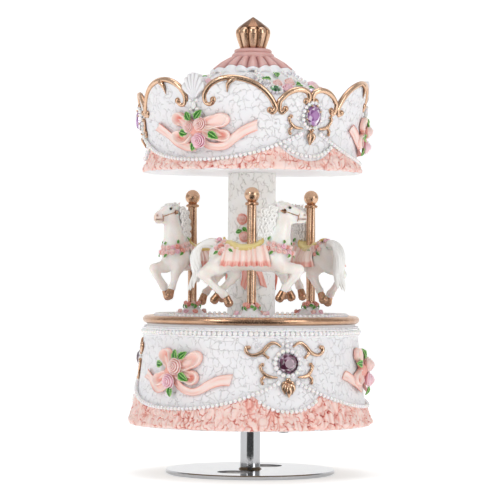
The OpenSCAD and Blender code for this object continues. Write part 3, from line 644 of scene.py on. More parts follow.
def plain(name, colour, rough, mottle, mottle_scale, mottle_amount=0.6, **more):
    """A finish of one colour."""
    return finish(name, [(0, colour), (1, colour)], rough, mottle, mottle_scale, mottle_amount, **more)


def cut(name, colours, mottle, rough=(0.02, 0.05), bend=1.7, coat=0.5):
    """The finish of a cut stone, with a painted reflection on each facet."""
    return finish(name, colours, rough, mottle, 700, bump=0.0, faceted=True, Transmission_Weight=0.25,
                  IOR=bend, Coat_Weight=coat)


# In most ramps a higher tone is darker. Many parts raise their tone in cracks, creases, hollows and
# undersides, so there these dark stops are painted shade; the leaf ramp grows lighter with its tone.
RESIN = resin("white_resin", [(0, (0.88, 0.87, 0.885)), (1, (0.45, 0.425, 0.42))],
              (0.36, 0.5), (0.96, 0.96, 0.98), 140, 0.5, 0.05, 0.001, bump=0.1)
COLUMN = resin("column_resin", [(0, (0.93, 0.92, 0.90)), (1, (0.56, 0.54, 0.515))],
               (0.4, 0.6), (0.93, 0.91, 0.87), 120, 0.7, 0.06, 0.002)
RUFFLE = resin("ruffle_resin", [(0, (0.93, 0.73, 0.675)), (0.4, (0.88, 0.44, 0.37)), (1, (0.48, 0.05, 0.04))],
               (0.4, 0.58), (0.97, 0.86, 0.84), 170, 0.6, 0.08, 0.0015)
RIBBON = resin("ribbon_resin", [(0, (0.95, 0.79, 0.74)), (0.5, (0.92, 0.56, 0.49)), (1, (0.80, 0.26, 0.20))],
               (0.34, 0.5), (0.99, 0.93, 0.90), 220, 0.5, 0.1, 0.0015)
ROSE_PEACH = resin("rose_peach",
                   [(0, (0.96, 0.80, 0.77)), (0.4, (0.95, 0.63, 0.58)), (1, (0.72, 0.17, 0.15))],
                   (0.4, 0.55), (1, 0.94, 0.93), 400, 0.5, 0.1, 0.001)
ROSE_LILAC = resin("rose_lilac",
                   [(0, (0.96, 0.76, 0.80)), (0.4, (0.93, 0.54, 0.63)), (1, (0.66, 0.14, 0.25))],
                   (0.4, 0.55), (1, 0.92, 0.95), 400, 0.5, 0.1, 0.001)
ROSE_CORAL = resin("rose_coral",
                   [(0, (0.94, 0.60, 0.52)), (0.4, (0.88, 0.33, 0.26)), (1, (0.55, 0.07, 0.06))],
                   (0.4, 0.6), (1, 0.9, 0.88), 400, 0.5, 0.08, 0.001)
GREEN = finish("leaf_green", [(0, (0.012, 0.08, 0.008)), (0.5, (0.06, 0.33, 0.03)), (1, (0.58, 0.86, 0.32))],
               (0.35, 0.5), (0.75, 0.9, 0.6), 500, 0.6)
PEARL = resin("pearl", [(0, (0.86, 0.845, 0.83)), (0.5, (0.90, 0.89, 0.90)), (1, (0.88, 0.86, 0.82))],
              (0.16, 0.28), (0.97, 0.95, 0.98), 300, 0.6, 0.15, 0.001,
              bump=0.03, Coat_Weight=0.7, Coat_Roughness=0.08)
GOLD = finish("gold_paint", [(0, (0.83, 0.57, 0.40)), (0.5, (0.40, 0.215, 0.125)), (1, (0.11, 0.05, 0.032))],
              (0.18, 0.3), (0.74, 0.62, 0.52), 190, 0.55, bump=0.15, Metallic=0.95)
HORSE = resin("horse_resin", [(0, (0.90, 0.87, 0.835)), (0.65, (0.72, 0.60, 0.52)), (1, (0.26, 0.15, 0.11))],
              (0.2, 0.34), (0.95, 0.89, 0.84), 90, 0.6, 0.35, 0.003,
              bump=0.04, Coat_Weight=0.35, Coat_Roughness=0.2)
HAIR = finish("horse_hair", [(0, (0.95, 0.94, 0.92)), (0.5, (0.84, 0.825, 0.80)), (1, (0.58, 0.56, 0.53))],
              (0.16, 0.3), (0.98, 0.96, 0.91), 200, 0.5, bump=0.05, Coat_Weight=0.6, Coat_Roughness=0.15)
SADDLE = finish("saddle_resin", [(0, (0.88, 0.76, 0.36)), (0.6, (0.70, 0.52, 0.18)), (1, (0.34, 0.20, 0.06))],
                (0.25, 0.4), (0.92, 0.85, 0.6), 260, 0.6, Coat_Weight=0.3, Coat_Roughness=0.2)
CLOTH = resin("cloth_resin", [(0, (0.95, 0.78, 0.72)), (0.45, (0.90, 0.54, 0.46)), (1, (0.84, 0.25, 0.21))],
              (0.35, 0.5), (0.99, 0.93, 0.9), 260, 0.5, 0.1, 0.0015)
COLLAR = resin("collar_resin",
               [(0, (0.78, 0.48, 0.44)), (0.5, (0.56, 0.28, 0.26)), (0.72, (0.36, 0.15, 0.14)),
                (0.8, (0.88, 0.87, 0.89)), (1, (0.9, 0.9, 0.92))],
               (0.3, 0.45), (0.95, 0.9, 0.9), 220, 0.5, 0.1, 0.0015)
EYE = finish("horse_eye", [(0, (0.006, 0.005, 0.005)), (1, (0.02, 0.015, 0.01))],
             (0.05, 0.12), bump=0.0, Coat_Weight=1.0)
# Each stone's stops run from dark to a bright glint: painted reflections, one shade per facet.
PLUM = cut("plum_stone", [(0, (0.045, 0.01, 0.025)), (0.6, (0.13, 0.035, 0.07)), (0.84, (0.36, 0.15, 0.25)),
                          (0.97, (0.85, 0.72, 0.80))], (0.8, 0.6, 0.9), bend=1.6, coat=0.1)
LILAC = cut("lilac_stone", [(0, (0.16, 0.045, 0.16)), (0.35, (0.42, 0.17, 0.44)), (0.65, (0.68, 0.40, 0.72)),
                            (0.9, (0.95, 0.86, 0.96))], (0.8, 0.7, 0.95))
EMERALD = cut("green_stone", [(0, (0.004, 0.05, 0.01)), (0.5, (0.02, 0.18, 0.04)), (0.9, (0.4, 0.8, 0.45))],
              (0.6, 0.9, 0.6))
CLEAR = cut("clear_stone", [(0, (0.30, 0.26, 0.27)), (0.5, (0.62, 0.58, 0.60)), (0.8, (0.93, 0.93, 0.95))],
            (0.9, 0.9, 0.95), rough=(0.02, 0.06))
FOIL = plain("stone_foil", (0.8, 0.76, 0.8), (0.05, 0.15), (0.6, 0.5, 0.6), 900, Metallic=1.0)
CHROME = plain("chrome", (0.47, 0.475, 0.49), (0.05, 0.13), (0.93, 0.93, 0.94), 60, 0.5,
               grain=900, bump=0.015, Metallic=1.0)
STEEL = plain("brushed_steel", (0.55, 0.56, 0.57), (0.22, 0.4), (0.85, 0.85, 0.88), 90,
              grain=1800, Metallic=1.0)
SPRING = plain("blued_spring", (0.10, 0.11, 0.15), (0.2, 0.35), (0.7, 0.75, 1), 200, Metallic=1.0)
BRASS = plain("machined_brass", (0.72, 0.53, 0.22), (0.18, 0.35), (0.85, 0.78, 0.7), 120, Metallic=1.0)
NYLON = plain("nylon", (0.82, 0.79, 0.68), (0.35, 0.5), (0.95, 0.94, 0.9), 200, 0.5,
              Subsurface_Weight=0.2, Subsurface_Scale=0.001)
BLACK = plain("fan_plastic", (0.02, 0.02, 0.022), (0.3, 0.5), (0.8, 0.8, 0.8), 300, 0.5)
BOARD = plain("base_board", (0.42, 0.31, 0.20), (0.6, 0.8), (0.7, 0.62, 0.55), 500, 0.8, grain=1500, bump=0.4)


def dress(finishes):
    """Gives CAD nodes that keep their own shape their finish."""
    for surface, names in finishes:
        for name in names:
            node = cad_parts[name]
            node.data.materials.clear()
            node.data.materials.append(surface)


dress([(CHROME, ("stand_disc", "stand_stem")),
       (STEEL, ("winding_arbor", "bottom_screws", "movement_bedplate", "spring_housing", "comb",
                "comb_screws", "governor_post", "governor_worm")),
       (BRASS, ("crown_wheel", "arbor_bush", "pin_cylinder", "cylinder_wheels")),
       (SPRING, ("mainspring",)), (NYLON, ("governor_wheel",)), (BLACK, ("governor_fan",)),
       (BOARD, ("base_bottom_plate",)), (RESIN, ("canopy_ceiling", "platform"))])

# ---- ornaments that the base and the canopy share ----

CRACK_DEPTH = 0.3
WALL_COLUMNS, RUFFLE_COLUMNS = 1500, 1400


def crackled_wall(shape, wall, bottom, top, thickness, columns, rows, seed):
    """A round wall with a crackled outside. top is a height, or a height for each column."""
    a = bearings(columns)
    rise = np.broadcast_to(top, a.shape)[:, None] - bottom
    up = bottom + rise * np.linspace(0, 1, rows)
    outside = around(a[:, None], wall(up), up)
    crack = crackle(outside, 2.6, 3.8, wall(bottom), seed)
    outside = outside - outward(outside) * (CRACK_DEPTH * crack)[..., None]
    down = bottom + rise * np.linspace(1, 0, 6)
    inside = around(a[:, None], wall(down) - thickness, down)
    # The cracks are darkened as painted shade in their grooves.
    tones = np.concatenate([crack * 0.5, 0 * down], 1)
    shape.rings(np.concatenate([outside, inside], 1), tones, closed_path=True)


def ruffle(shape, wall, bottom, top, stand_off, fold, seed, rows=44):
    """A wrinkled skirt on a round wall, from bottom to a top edge given for each column."""
    a = bearings(RUFFLE_COLUMNS)
    s = np.linspace(0, 1, rows)
    foot = bottom + 0.35 + 0.35 * cloud(around(a, 50 / 2.3, 0), seed + 20)
    up = foot[:, None] + (top[:, None] - foot[:, None]) * s
    off = np.interp(s, (0, 0.06, 0.16, 0.32, 0.6, 0.9, 1), stand_off)
    start = around(a[:, None], wall(np.full_like(up, bottom)), up)
    wander = np.stack([cloud(start / 2.2, seed + k) for k in range(3)], -1)
    ridge = borders((start + wander * [1.5, 1.5, 0.6]) / [3.5, 3.5, 10], seed)
    fine = borders((start + wander * 1.1) / [1.9, 1.9, 3.0], seed + 40)
    mask = np.clip(cloud(start / 3.4, seed + 50) * 2.5 + 0.6, 0, 1)
    crease = np.clip(1 - ridge / 0.16, 0, 1) * (0.25 + 0.75 * mask)
    small = np.clip(1 - fine / 0.13, 0, 1) * np.clip(cloud(start / 2.6, seed + 60) * 3 + 0.6, 0, 1)
    bulge = np.clip(ridge / 0.5, 0, 1) ** 0.6
    thread = crackle(start, 2.5, 6.5, wall(bottom), seed + 90, 0.18, 0.3)
    level = np.interp(s, (0, 0.1, 0.85, 1), (0.85, 1, 0.9, 0.25))
    r = wall(up) + off + level * (fold * (bulge - 0.55) - 0.3 * small - 0.35 * thread)
    outside = around(a[:, None], r, up)
    # Painted shade in the creases and in the valleys between bulges, stronger in coral zones; the thread
    # lines are darker too.
    zone = np.clip(cloud(start / [5, 5, 9], seed + 80) * 1.6 + 0.15, 0, 1)
    tone = (0.5 + 0.5 * zone) * crease ** 1.3 + (0.3 + 0.35 * zone) * small + 0.3 * zone * (1 - bulge)
    tone = np.maximum(0.6 * np.clip(tone, 0, 1), (0.75 + 0.25 * zone) * thread)
    down = bottom + (top[:, None] - bottom) * np.linspace(1, 0, 5)
    inside = around(a[:, None], wall(down) - 0.5, down)
    tones = np.concatenate([tone, 0 * down + 0.2], 1)
    shape.rings(np.concatenate([outside, inside], 1), tones, closed_path=True)


SWAG_PEARL_R, SWAG_PITCH = 0.95, 1.95


def swag_pearls(shape, centre, reach, bottom, span, wall):
    """Pearls strung on a wall along a swag."""
    u = np.linspace(-reach, reach, 900)
    z = bottom + swag_rise(u, span)
    line = around(centre + u, wall(z) + SWAG_PEARL_R, z)
    far = np.concatenate([[0], np.cumsum(np.linalg.norm(np.diff(line, axis=0), axis=1))])
    at = np.linspace(0, far[-1], int(far[-1] / SWAG_PITCH))
    size = np.where((np.arange(len(at)) % (len(at) - 1) == 0) & (reach > 30), 1.2, SWAG_PEARL_R)
    pearls(shape, np.stack([np.interp(at, far, line[:, k]) for k in range(3)], 1), size)


# Lines of the scrollwork to the left of a jewel, as (along, up) from its middle
UPPER = [[-3.1, 7.4], [-5, 8.8], [-7, 9], [-9.1, 7.6], [-11.1, 5.4], [-13.4, 4], [-15.8, 3.6], [-17.8, 4.4],
         [-18.8, 5.8], [-18.4, 7.2], [-17.3, 7]]
UPPER_BRANCH = [[-10.9, 5.4], [-10.4, 3.9], [-8.8, 2.6]]
LOWER = [[-4.8, -6], [-7.5, -5.8], [-9.6, -5], [-11.2, -3.2], [-11.8, -1.3], [-10.9, -0.6]]
LOWER_BRANCH = [[-9.6, -5.4], [-11.3, -7], [-10.9, -8.5]]


def scroll(shape, path, azimuth, z, wall, size=1.0, grow=1.0):
    """A raised C-scroll that ends in a curl as round as a bead."""
    radii = np.array([0.45, 0.8, 0.92, 0.68, 0.76, 0.55]) * size
    for side in (1, -1):
        way = [[side * x * grow, y * grow, 0.55] for x, y in path]
        # edge: painted shade on the scroll's sides
        wall_tube(shape, way, radii, azimuth, z, wall, flat=0.95, edge=0.65)
        tip = wrapped([[*way[-1][:2], 0.7]], azimuth, z, wall)[0]
        shape.ball(tip, 0.92 * size, 0.15)


def pendant(shape, azimuth, z, wall, drop, size):
    """A knob over a drop of five lobes, under a stone."""
    pearl_at = wrapped([[0, -drop + 4.0 * size, 1.0]], azimuth, z, wall)[0]
    shape.ball(pearl_at, 1.05 * size)
    lobes = (([0, 2.4, 1.0], [0, -0.6, 1.7], [0, -3.6, 0.8], (0.5, 1.6, 1.2, 0.2)),
             ([0.5, 2.2, 0.8], [2.0, 0.8, 1.2], [1.5, -2.2, 0.6], (0.4, 1.25, 1.0, 0.2)),
             ([0.4, 2.6, 0.7], [1.8, 2.8, 0.9], [2.7, 1.2, 0.5], (0.35, 0.7, 0.6, 0.2)))
    for *points, radii in lobes:
        for side in ((1,) if points[0][0] == 0 else (1, -1)):
            way = np.array(points) * [side * size, size, 1] - [0, drop, 0]
            # edge: painted shade on each lobe's sides
            wall_tube(shape, way, np.array(radii) * size, azimuth, z, wall, edge=0.7)


def stone(shape, matrix, origin, kind=0):
    """A cut stone in its foil cup."""
    shape.copy(STONE, matrix, origin, kind)
    cup_lines = ((1.05, 0.06), (0.98, -0.02), (0.5, -0.45), (0.04, -0.72), (0.04, -0.95), (0.7, -0.75),
                 (1.12, -0.2))
    rings = np.stack([ellipse(angles(24), r, r, h) for r, h in cup_lines])
    shape.rings(rings @ matrix.T + origin, 0.0, 1, closed_path=True)


LOBE_PUFF, LOBE_OUT = 2.3, 0.9


def lobe(shape, azimuth, z, wall, middle, radii, tilt, hollow):
    """One soft loop of a bow: a pillow that narrows to the knot, with a rolled rim, gathers and a hollow."""
    cx, cy = middle
    home = math.atan2(-cy, -cx)
    away = math.hypot(cx, cy)
    spin = math.radians(tilt)
    rho = np.linspace(0.03, 1, 22)[:, None]
    phi = angles(72)[None, :]
    own = 1 / np.sqrt((np.cos(phi - spin) / radii[0]) ** 2 + (np.sin(phi - spin) / radii[1]) ** 2)
    neck = np.maximum(np.cos(phi - home), 0) ** 7
    own = own + neck * np.maximum(away * 0.95 - own, 0)
    x, y = cx + rho * own * np.cos(phi), cy + rho * own * np.sin(phi)
    bearing = np.arctan2(y, x) - math.atan2(cy, cx)
    gather = np.cos(bearing * 17 + 1.7 * cx) * np.clip(1.25 - np.hypot(x, y) / away, 0, 1)
    rim = np.exp(-((rho - 0.82) / 0.13) ** 2)
    pit = hollow * np.exp(-(rho / 0.52) ** 4) * (1 - neck)
    height = LOBE_PUFF * (1 - rho ** 6) ** 0.5 * (0.55 + 0.45 * rim) - 1.35 * pit
    height = height + 0.3 * gather * (1 - rho ** 4)
    top = np.stack([x, y, LOBE_OUT + height * (1 - 0.25 * neck * rho)], -1)
    under = np.stack([x, y, LOBE_OUT - 0.4 + 0 * height], -1)[::-1]
    # Painted shade in the hollow, between the gathers, towards the outer edge and on the underside.
    tone = np.clip(0.8 * pit + 0.65 * np.clip(-gather, 0, 1) + 0.45 * rho ** 12 + 0.12 * (1 - rim), 0, 1)
    tones = np.concatenate([tone, 0.6 + 0 * tone])
    shape.rings(wrapped(np.concatenate([top, under]), azimuth, z, wall), tones)


# ---- base ----

drum = Shape()
crackled_wall(drum, drum_r, BASE_LOW, DRUM_TOP, 3.6, WALL_COLUMNS, 240, 11)
revolve(drum, [[0.5, DRUM_TOP - 2.5], [44.6, DRUM_TOP - 2.5], [44.6, DRUM_TOP - 0.1], [0.5, DRUM_TOP - 0.1]])
piece("drum_crackled", drum, "carousel", RESIN, ["base_drum"])

frill = Shape()
ruffle(frill, drum_r, BASE_LOW, hem(bearings(RUFFLE_COLUMNS), 30.6, BASE_SWAG, BASE_JEWEL),
       (0.3, 1.1, 1.55, 1.3, 0.9, 0.7, 0.35), 1.25, 3)
piece("base_frill", frill, "carousel", RUFFLE, ["base_ruffle"])

rope = Shape()
ROPE_Z, ROPE_R = 63.6, float(drum_r(63.6)) + 0.2
pearls(rope, around(bearings(132), ROPE_R, ROPE_Z), 1.15)
for side in (-1, 1):
    revolve(rope, oval(ROPE_R, ROPE_Z + side * 1.3, 0.45, 0.42, 12), 480, tone=0.5,
            wobble=lambda p: 0.07 * np.sin(np.degrees(np.arctan2(p[..., 0], -p[..., 1])) * 5.5))
piece("pearl_rope", rope, "carousel", PEARL, ["base_pearl_rope"])

swags = Shape()
for t in THIRDS:
    swag_pearls(swags, BASE_SWAG + t, 55, 31, CROSSING, drum_r)
    swag_pearls(swags, BASE_JEWEL + t, 14.2, 30.4, 60 - CROSSING, drum_r)
piece("base_swags", swags, "carousel", PEARL, ["base_pearl_swags"])

rim = Shape()
revolve(rim, oval(46.5, 68.8, 1.9, 1.75, 23), 360, tone=0.3, wobble=lambda p: 0.06 * cloud(p / 3, 4))
piece("rim_gold", rim, "carousel", GOLD, ["gold_rim"])

beads = Shape()
pearls(beads, around(bearings(108), 42.6, PLATFORM + 0.75), 0.86)
piece("platform_beads", beads, "carousel", PEARL, ["platform_pearls"])

BASE_JEWEL_Z, BASE_BOW_Z = 51.0, 47.0
scrolls, stones, stone_pearls = Shape(), Shape(), Shape()
for t in THIRDS:
    jewel = BASE_JEWEL + t
    for path, size, grow in ((UPPER, 1.0, 0.96), (UPPER_BRANCH, 0.75, 0.96), (LOWER, 0.95, 1.0),
                             (LOWER_BRANCH, 0.8, 1.0)):
        scroll(scrolls, path, jewel, BASE_JEWEL_Z, drum_r, size, grow)
    pendant(scrolls, jewel, BASE_JEWEL_Z, drum_r, 11.0, 1.0)
    stone(stones, *place(jewel, drum_r(BASE_JEWEL_Z) + 1.9, BASE_JEWEL_Z, 4.05, spin=11))
    pearls(stone_pearls, wrapped(ellipse(angles(16), 5.4, 5.4, 1.0), jewel, BASE_JEWEL_Z, drum_r), 1.1)
    pearls(stone_pearls, wrapped([[0, 7.6 + 2.0 * k, 0.7] for k in range(3)], jewel, BASE_JEWEL_Z, drum_r),
           [0.98, 0.95, 0.9])
    pearls(stone_pearls, wrapped([[s * 1.9, 8.1, 0.6] for s in (-1, 1)], jewel, BASE_JEWEL_Z, drum_r), 0.75)
piece("base_scrollwork", scrolls, "carousel", GOLD, ["base_scrolls"])
piece("base_stones", stones, "carousel", [PLUM, FOIL], ["base_gems"], smooth=False)
piece("base_stone_pearls", stone_pearls, "carousel", PEARL, ["base_gem_pearls"])

# Bows, in millimetres from the knot: (middle, radii, tilt, hollow) of each loop, then (path, width, lean)
# of the tails, (x, y, size, colour) of the roses and (x, y, direction, size) of the leaves
BASE_LOOPS = (((-4.4, 7.0), (3.7, 2.9), 10, 0.7), ((11.2, 5.2), (4.6, 3.5), 35, 0.45),
              ((10.8, -2.6), (3.4, 3.2), 0, 1.0), ((-7.0, -3.6), (4.4, 3.0), 15, 0.8))
BASE_TAILS = (([[1, -2.6, 0.9], [6.5, -7.0, 1.3], [11, -8.6, 1.2], [15, -7.8, 1.1], [19.5, -5.2, 0.8],
                [24, -3.6, 0.8], [28.6, -3.2, 0.7]], (2.6, 3.0, 3.4, 4.2, 5.0), (12, -18, 14, 4, 0)),
              ([[-1.5, -5.6, 0.9], [-6.5, -8, 1.3], [-11, -5.4, 1.1], [-16, -2.6, 0.8], [-19.4, -1.6, 0.7]],
               (3.0, 3.6, 4.0, 4.4), (-8, 16, -10, 0)))
BASE_ROSES = ((3.7, 2.1, 3.6, 0), (1.0, -4.3, 3.3, 1))
BASE_LEAVES = ((2.6, 7.0, 110, 4.8), (6.6, 7.0, 40, 4.4), (-6.7, 3.0, 175, 4.4), (7.6, -2.3, -40, 5.0),
               (1.4, -8.9, -110, 4.4))
CROWN_LOOPS = (((-8.7, 3.9), (3.4, 2.9), 20, 0.9), ((10.6, 2.9), (4.6, 3.2), 10, 0.0),
               ((11.6, -3.6), (3.7, 2.8), 0, 0.9), ((-8.6, -4.0), (4.8, 3.0), -15, 0.9))
CROWN_TAILS = (([[1, -3, 0.9], [5, -7.6, 1.2], [12, -8, 1.1], [17, -4.4, 0.8], [21, -1.6, 0.8],
                 [26.6, 0.9, 0.7]],
                (2.6, 3.2, 3.6, 4.2, 4.4), (10, -16, 12, 4, 0)),
               ([[-1, -8.6, 0.9], [-5.5, -8.2, 1.3], [-11, -5.8, 1.2], [-17, -2.0, 0.8], [-23.7, 1.3, 0.7]],
                (3.0, 3.6, 4.0, 4.4), (-8, 18, -12, 0)))
CROWN_ROSES = ((2.9, 1.3, 3.0, 0), (-2.6, 0.3, 2.6, 0), (1.9, -5.7, 3.3, 1))
CROWN_LEAVES = ((-3.0, 4.9, 125, 4.6), (1.9, 5.4, 55, 4.6), (-6.4, -2.2, 165, 4.6), (8.0, -3.5, -35, 4.8),
                (-1.4, -8.2, -125, 4.2))


BASE_BOW_PARTS = BASE_LOOPS, BASE_TAILS, BASE_ROSES, BASE_LEAVES
CROWN_BOW_PARTS = CROWN_LOOPS, CROWN_TAILS, CROWN_ROSES, CROWN_LEAVES


def bow(bands, blooms, greens, azimuth, z, wall, loops, tails, roses, leaves):
    """A ribbon bow on a wall, with roses and leaves over its knot."""

    def at(x, y):
        return azimuth + math.degrees(x / float(wall(np.float64(z)))), float(wall(np.float64(z + y)))

    for loop in loops:
        lobe(bands, azimuth, z, wall, *loop)
    for path, width, lean in tails:
        ribbon(bands, path, width, lean, azimuth, z, wall, steps=9)
    knot = wrapped([[0, -0.6, 1.6]], azimuth, z, wall)[0]
    bands.add(BALL[0] @ (facing(azimuth) @ np.diag([3.6, 3.2, 2.2])).T + knot, BALL[1], 0.7)
    for i, (x, y, size, colour) in enumerate(roses):
        turn, r = at(x, y)
        blooms.copy(ROSE, *place(turn, r + 3.3, z + y, size, tilt=4 * y / 5, spin=71 * i), kind=colour)
    for x, y, direction, size in leaves:
        turn, r = at(x - 0.5 * size * math.cos(math.radians(direction)), y)
        matrix = facing(turn) @ turn_z(direction) @ np.diag([size, size * 1.2, size])
        foot = around(turn, r + 2.4, z + y - 0.5 * size * math.sin(math.radians(direction)))
        greens.copy(LEAF, matrix, foot)


bands, blooms, greens = Shape(), Shape(), Shape()
for t in THIRDS:
    bow(bands, blooms, greens, BASE_BOW + t, BASE_BOW_Z, drum_r, *BASE_BOW_PARTS)
piece("base_ribbons", bands, "carousel", RIBBON, ["base_bows"])
piece("base_blooms", blooms, "carousel", [ROSE_PEACH, ROSE_LILAC], ["base_roses"])
piece("base_greens", greens, "carousel", GREEN, ["base_leaves"])

# ---- column, poles and mounds ----

column = Shape()
z = np.linspace(PLATFORM, CEILING, 260)
skin = around(bearings(560)[:, None], column_r(z), z)
crack = crackle(skin, 2.4, 4.2, COLUMN_R, 23, 0.15, 0.3)
skin = skin - outward(skin) * (0.3 * crack - 0.12 * cloud(skin / 2.4, 31))[..., None]
# The cracks are darkened as painted shade in their grooves.
column.rings(skin.transpose(1, 0, 2), (crack * 0.75).T)
piece("column_crackled", column, "carousel", COLUMN, ["column"])

spray = Shape()
for t in THIRDS:
    for x, z, size in ((-4, 113.3, 2.5), (-3.2, 105.5, 2.35), (-5.4, 98.5, 1.7)):
        turn = t + math.degrees(x / COLUMN_R)
        spray.copy(ROSE, *place(turn, COLUMN_R + 0.2, z, size, spin=50 * x), kind=0)
        spray.copy(ROSE, *place(turn, COLUMN_R + 1.0, z + 0.2, 0.7 * size, spin=20 * x), kind=3)
    for x, z, direction in ((-3.8, 109.8, -50), (-4.4, 108.4, 200), (-6.0, 102.2, 190), (-2.6, 101.4, -40)):
        turn = t + math.degrees(x / COLUMN_R)
        matrix = facing(turn) @ turn_z(direction) @ np.diag([3.2, 3.6, 3])
        spray.copy(LEAF, matrix, around(turn, COLUMN_R + 0.2, z), kind=1)
    for path in ([[-4.6, 98, 0.5], [-3.4, 93, 0.7], [-2.6, 88, 0.6], [-3.6, 83, 0.5]],
                 [[-4.2, 98, 0.5], [0.5, 94, 0.7], [3.6, 89, 0.6], [5.4, 83.5, 0.5]]):
        ribbon(spray, path, (1.6, 2.6, 2.6), (0, 25, -15, 5), t, 0.0, column_r, tone=0.55, kind=2)
piece("column_flowers", spray, "carousel", [ROSE_CORAL, GREEN, RIBBON, ROSE_PEACH],
      ["column_spray"])


def pole(shape, middle):
    """A gold pole with deep, barely turning flutes, a flat collar and a ball."""
    z = np.linspace(PLATFORM + 1.6, POLE_TOP - 8.3, 160)
    t = angles(60)
    flute = np.abs(np.cos(2.5 * (t[None, :] + 2.2 - (z[:, None] - 100) * 0.014))) ** 0.6
    r = 1.5 + 0.6 * flute
    # The flute valleys are darkened as painted shade.
    shape.rings(ellipse(t, r, r, z[:, None]) + middle, np.clip(1.1 - 1.35 * flute, 0, 1))
    top = z[-1]
    collar = [[0.4, top - 0.5], [2.2, top - 0.5], [2.9, top - 0.3], [3.05, top + 0.2], [2.9, top + 0.8],
              [2.2, top + 1.0], [1.9, top + 1.4], [0.4, top + 1.8]]
    revolve(shape, rounded(collar, 0.25), 48, middle, tone=0.3)
    shape.add(FINE_BALL[0] * 3.35 + middle + [0, 0, POLE_TOP - 4.1], FINE_BALL[1], 0.1)


for t, node in zip(THIRDS, ("pole_front", "pole_right", "pole_left")):
    made = Shape()
    pole(made, around(t, POLE_RING, 0))
    piece("gold_" + node, made, "carousel", GOLD, [node])

mounds, mound_flowers = Shape(), Shape()
for t in THIRDS:
    foot = around(t, POLE_RING, 0)
    s = np.linspace(0, 1, 16)
    slope = np.stack([9.6 - 7.0 * s ** 0.62, PLATFORM + 4.6 * s ** 1.7], -1)
    outline = np.vstack([slope, [[0.5, PLATFORM + 4.7], [0.5, PLATFORM + 0.1], [9.5, PLATFORM + 0.1]]])
    revolve(mounds, outline, 200, foot,
            wobble=lambda p: 0.4 * cloud(p / 2.4, 8) + 0.14 * cloud(p / 0.9, 9))
    for i in range(9):
        b = i * 40 + 12 + t
        spot = foot + around(b, 2.9, PLATFORM + 5.2 + 0.5 * (i % 2))
        mound_flowers.copy(SMALL_ROSE, facing(b, 15) * (1.0 + 0.15 * (i % 3)), spot, (0, 3, 3)[i % 3])
        leafed = facing(b + 20, 12) @ turn_z(-120 + 60 * (i % 3)) @ np.diag([1.9, 2.3, 2])
        mound_flowers.copy(LEAF, leafed, foot + around(b + 20, 3.5, PLATFORM + 4.9), kind=1)
    for i, b in enumerate((65, 100, 135, 250, 285)):
        spot = foot + around(b + t, 6.4 + 0.6 * (i % 2), PLATFORM + 1.9)
        mound_flowers.copy(SMALL_ROSE, facing(b + t, 50) * 1.35, spot, (0, 2, 3)[i % 3])
piece("mounds_white", mounds, "carousel", RESIN, ["pole_mounds"])
piece("mound_flowers", mound_flowers, "carousel", [ROSE_PEACH, GREEN, ROSE_LILAC, ROSE_CORAL],
      ["mound_roses"])

# ---- horses: X forwards, Y to the left, Z up from the table, at the pole ----

# Body and head: middle, radii and how softly each melts into the rest
MASSES = (((9.2, 0, 97.2), (8.2, 5.4, 6.8), 3), ((0.5, 0, 95.8), (11, 5.2, 5.4), 3),
          ((-10.6, 0, 97.0), (8.0, 5.7, 6.8), 3), ((8.2, 0, 101.4), (5.5, 3.7, 3.6), 3),
          ((14.0, 0, 116.4), (4.2, 2.9, 3.9), 2.2), ((15.0, 0, 114.2), (3.2, 2.6, 3.1), 1.6))
# Chains of tapered rods, as points (x, y, z, radius), and the hooves, as (ankle, tip)
NECK = ((9.5, 0, 99.0, 5.8), (11.2, 0, 104.0, 5.0), (12.2, 0, 109.0, 4.1), (12.8, 0, 114.0, 3.4))
FACE = ((15.0, 0, 117.0, 2.9), (18.2, 0, 115.9, 2.4), (21.0, 0, 114.8, 2.0), (22.1, 0, 114.3, 1.75))
JAW = ((14.0, 0, 113.8, 2.6), (18.0, 0, 113.2, 1.8), (20.8, 0, 113.0, 1.5), (22.2, 0, 112.8, 1.5))
LEGS = (((10.8, -2.7, 95.0, 4.2), (13.8, -3.2, 92.2, 3.0), (17.4, -3.4, 91.6, 2.45),
         (20.5, -3.4, 91.2, 2.25), (19.4, -3.3, 88.6, 1.85), (16.6, -3.3, 85.4, 1.6),
         (14.9, -3.2, 83.4, 1.85), (13.9, -3.2, 82.0, 1.6)),
        ((9.4, 2.7, 96.0, 4.2), (12.0, 3.2, 92.0, 3.0), (13.6, 3.2, 89.2, 2.2), (14.3, 3.2, 86.6, 1.6),
         (15.1, 3.2, 84.2, 1.4), (15.9, 3.2, 82.6, 1.65), (16.4, 3.2, 81.6, 1.45)),
        ((-10.8, -2.8, 96.2, 5.4), (-14.4, -3.2, 93.0, 4.4), (-18.2, -3.3, 90.8, 3.0),
         (-21.4, -3.3, 89.0, 2.15), (-19.0, -3.2, 86.4, 1.55), (-15.0, -3.2, 82.6, 1.4),
         (-12.1, -3.2, 80.4, 1.8), (-11.0, -3.2, 79.2, 1.55)),
        ((-9.4, 2.8, 95.6, 5.0), (-8.0, 3.2, 92.0, 4.0), (-7.2, 3.2, 88.8, 2.6), (-8.8, 3.2, 86.4, 1.9),
         (-11.4, 3.2, 83.6, 1.45), (-13.2, 3.2, 81.8, 1.7), (-14.2, 3.2, 80.4, 1.5)))
HOOVES = (((13.9, -3.2, 81.9), (12.2, -3.2, 78.6)), ((16.3, 3.2, 81.7), (17.5, 3.2, 79.0)),
          ((-11.1, -3.2, 79.4), (-9.7, -3.2, 76.3)), ((-14.1, 3.2, 80.5), (-16.2, 3.2, 77.6)))
NOSTRIL = (23.0, 1.25, 114.9)
VOXEL = 0.5
FIELD_LOW = np.array([-28.0, -9.0, 76.0])
FIELD_SIZE = (108, 36, 96)
FAR = 50.0


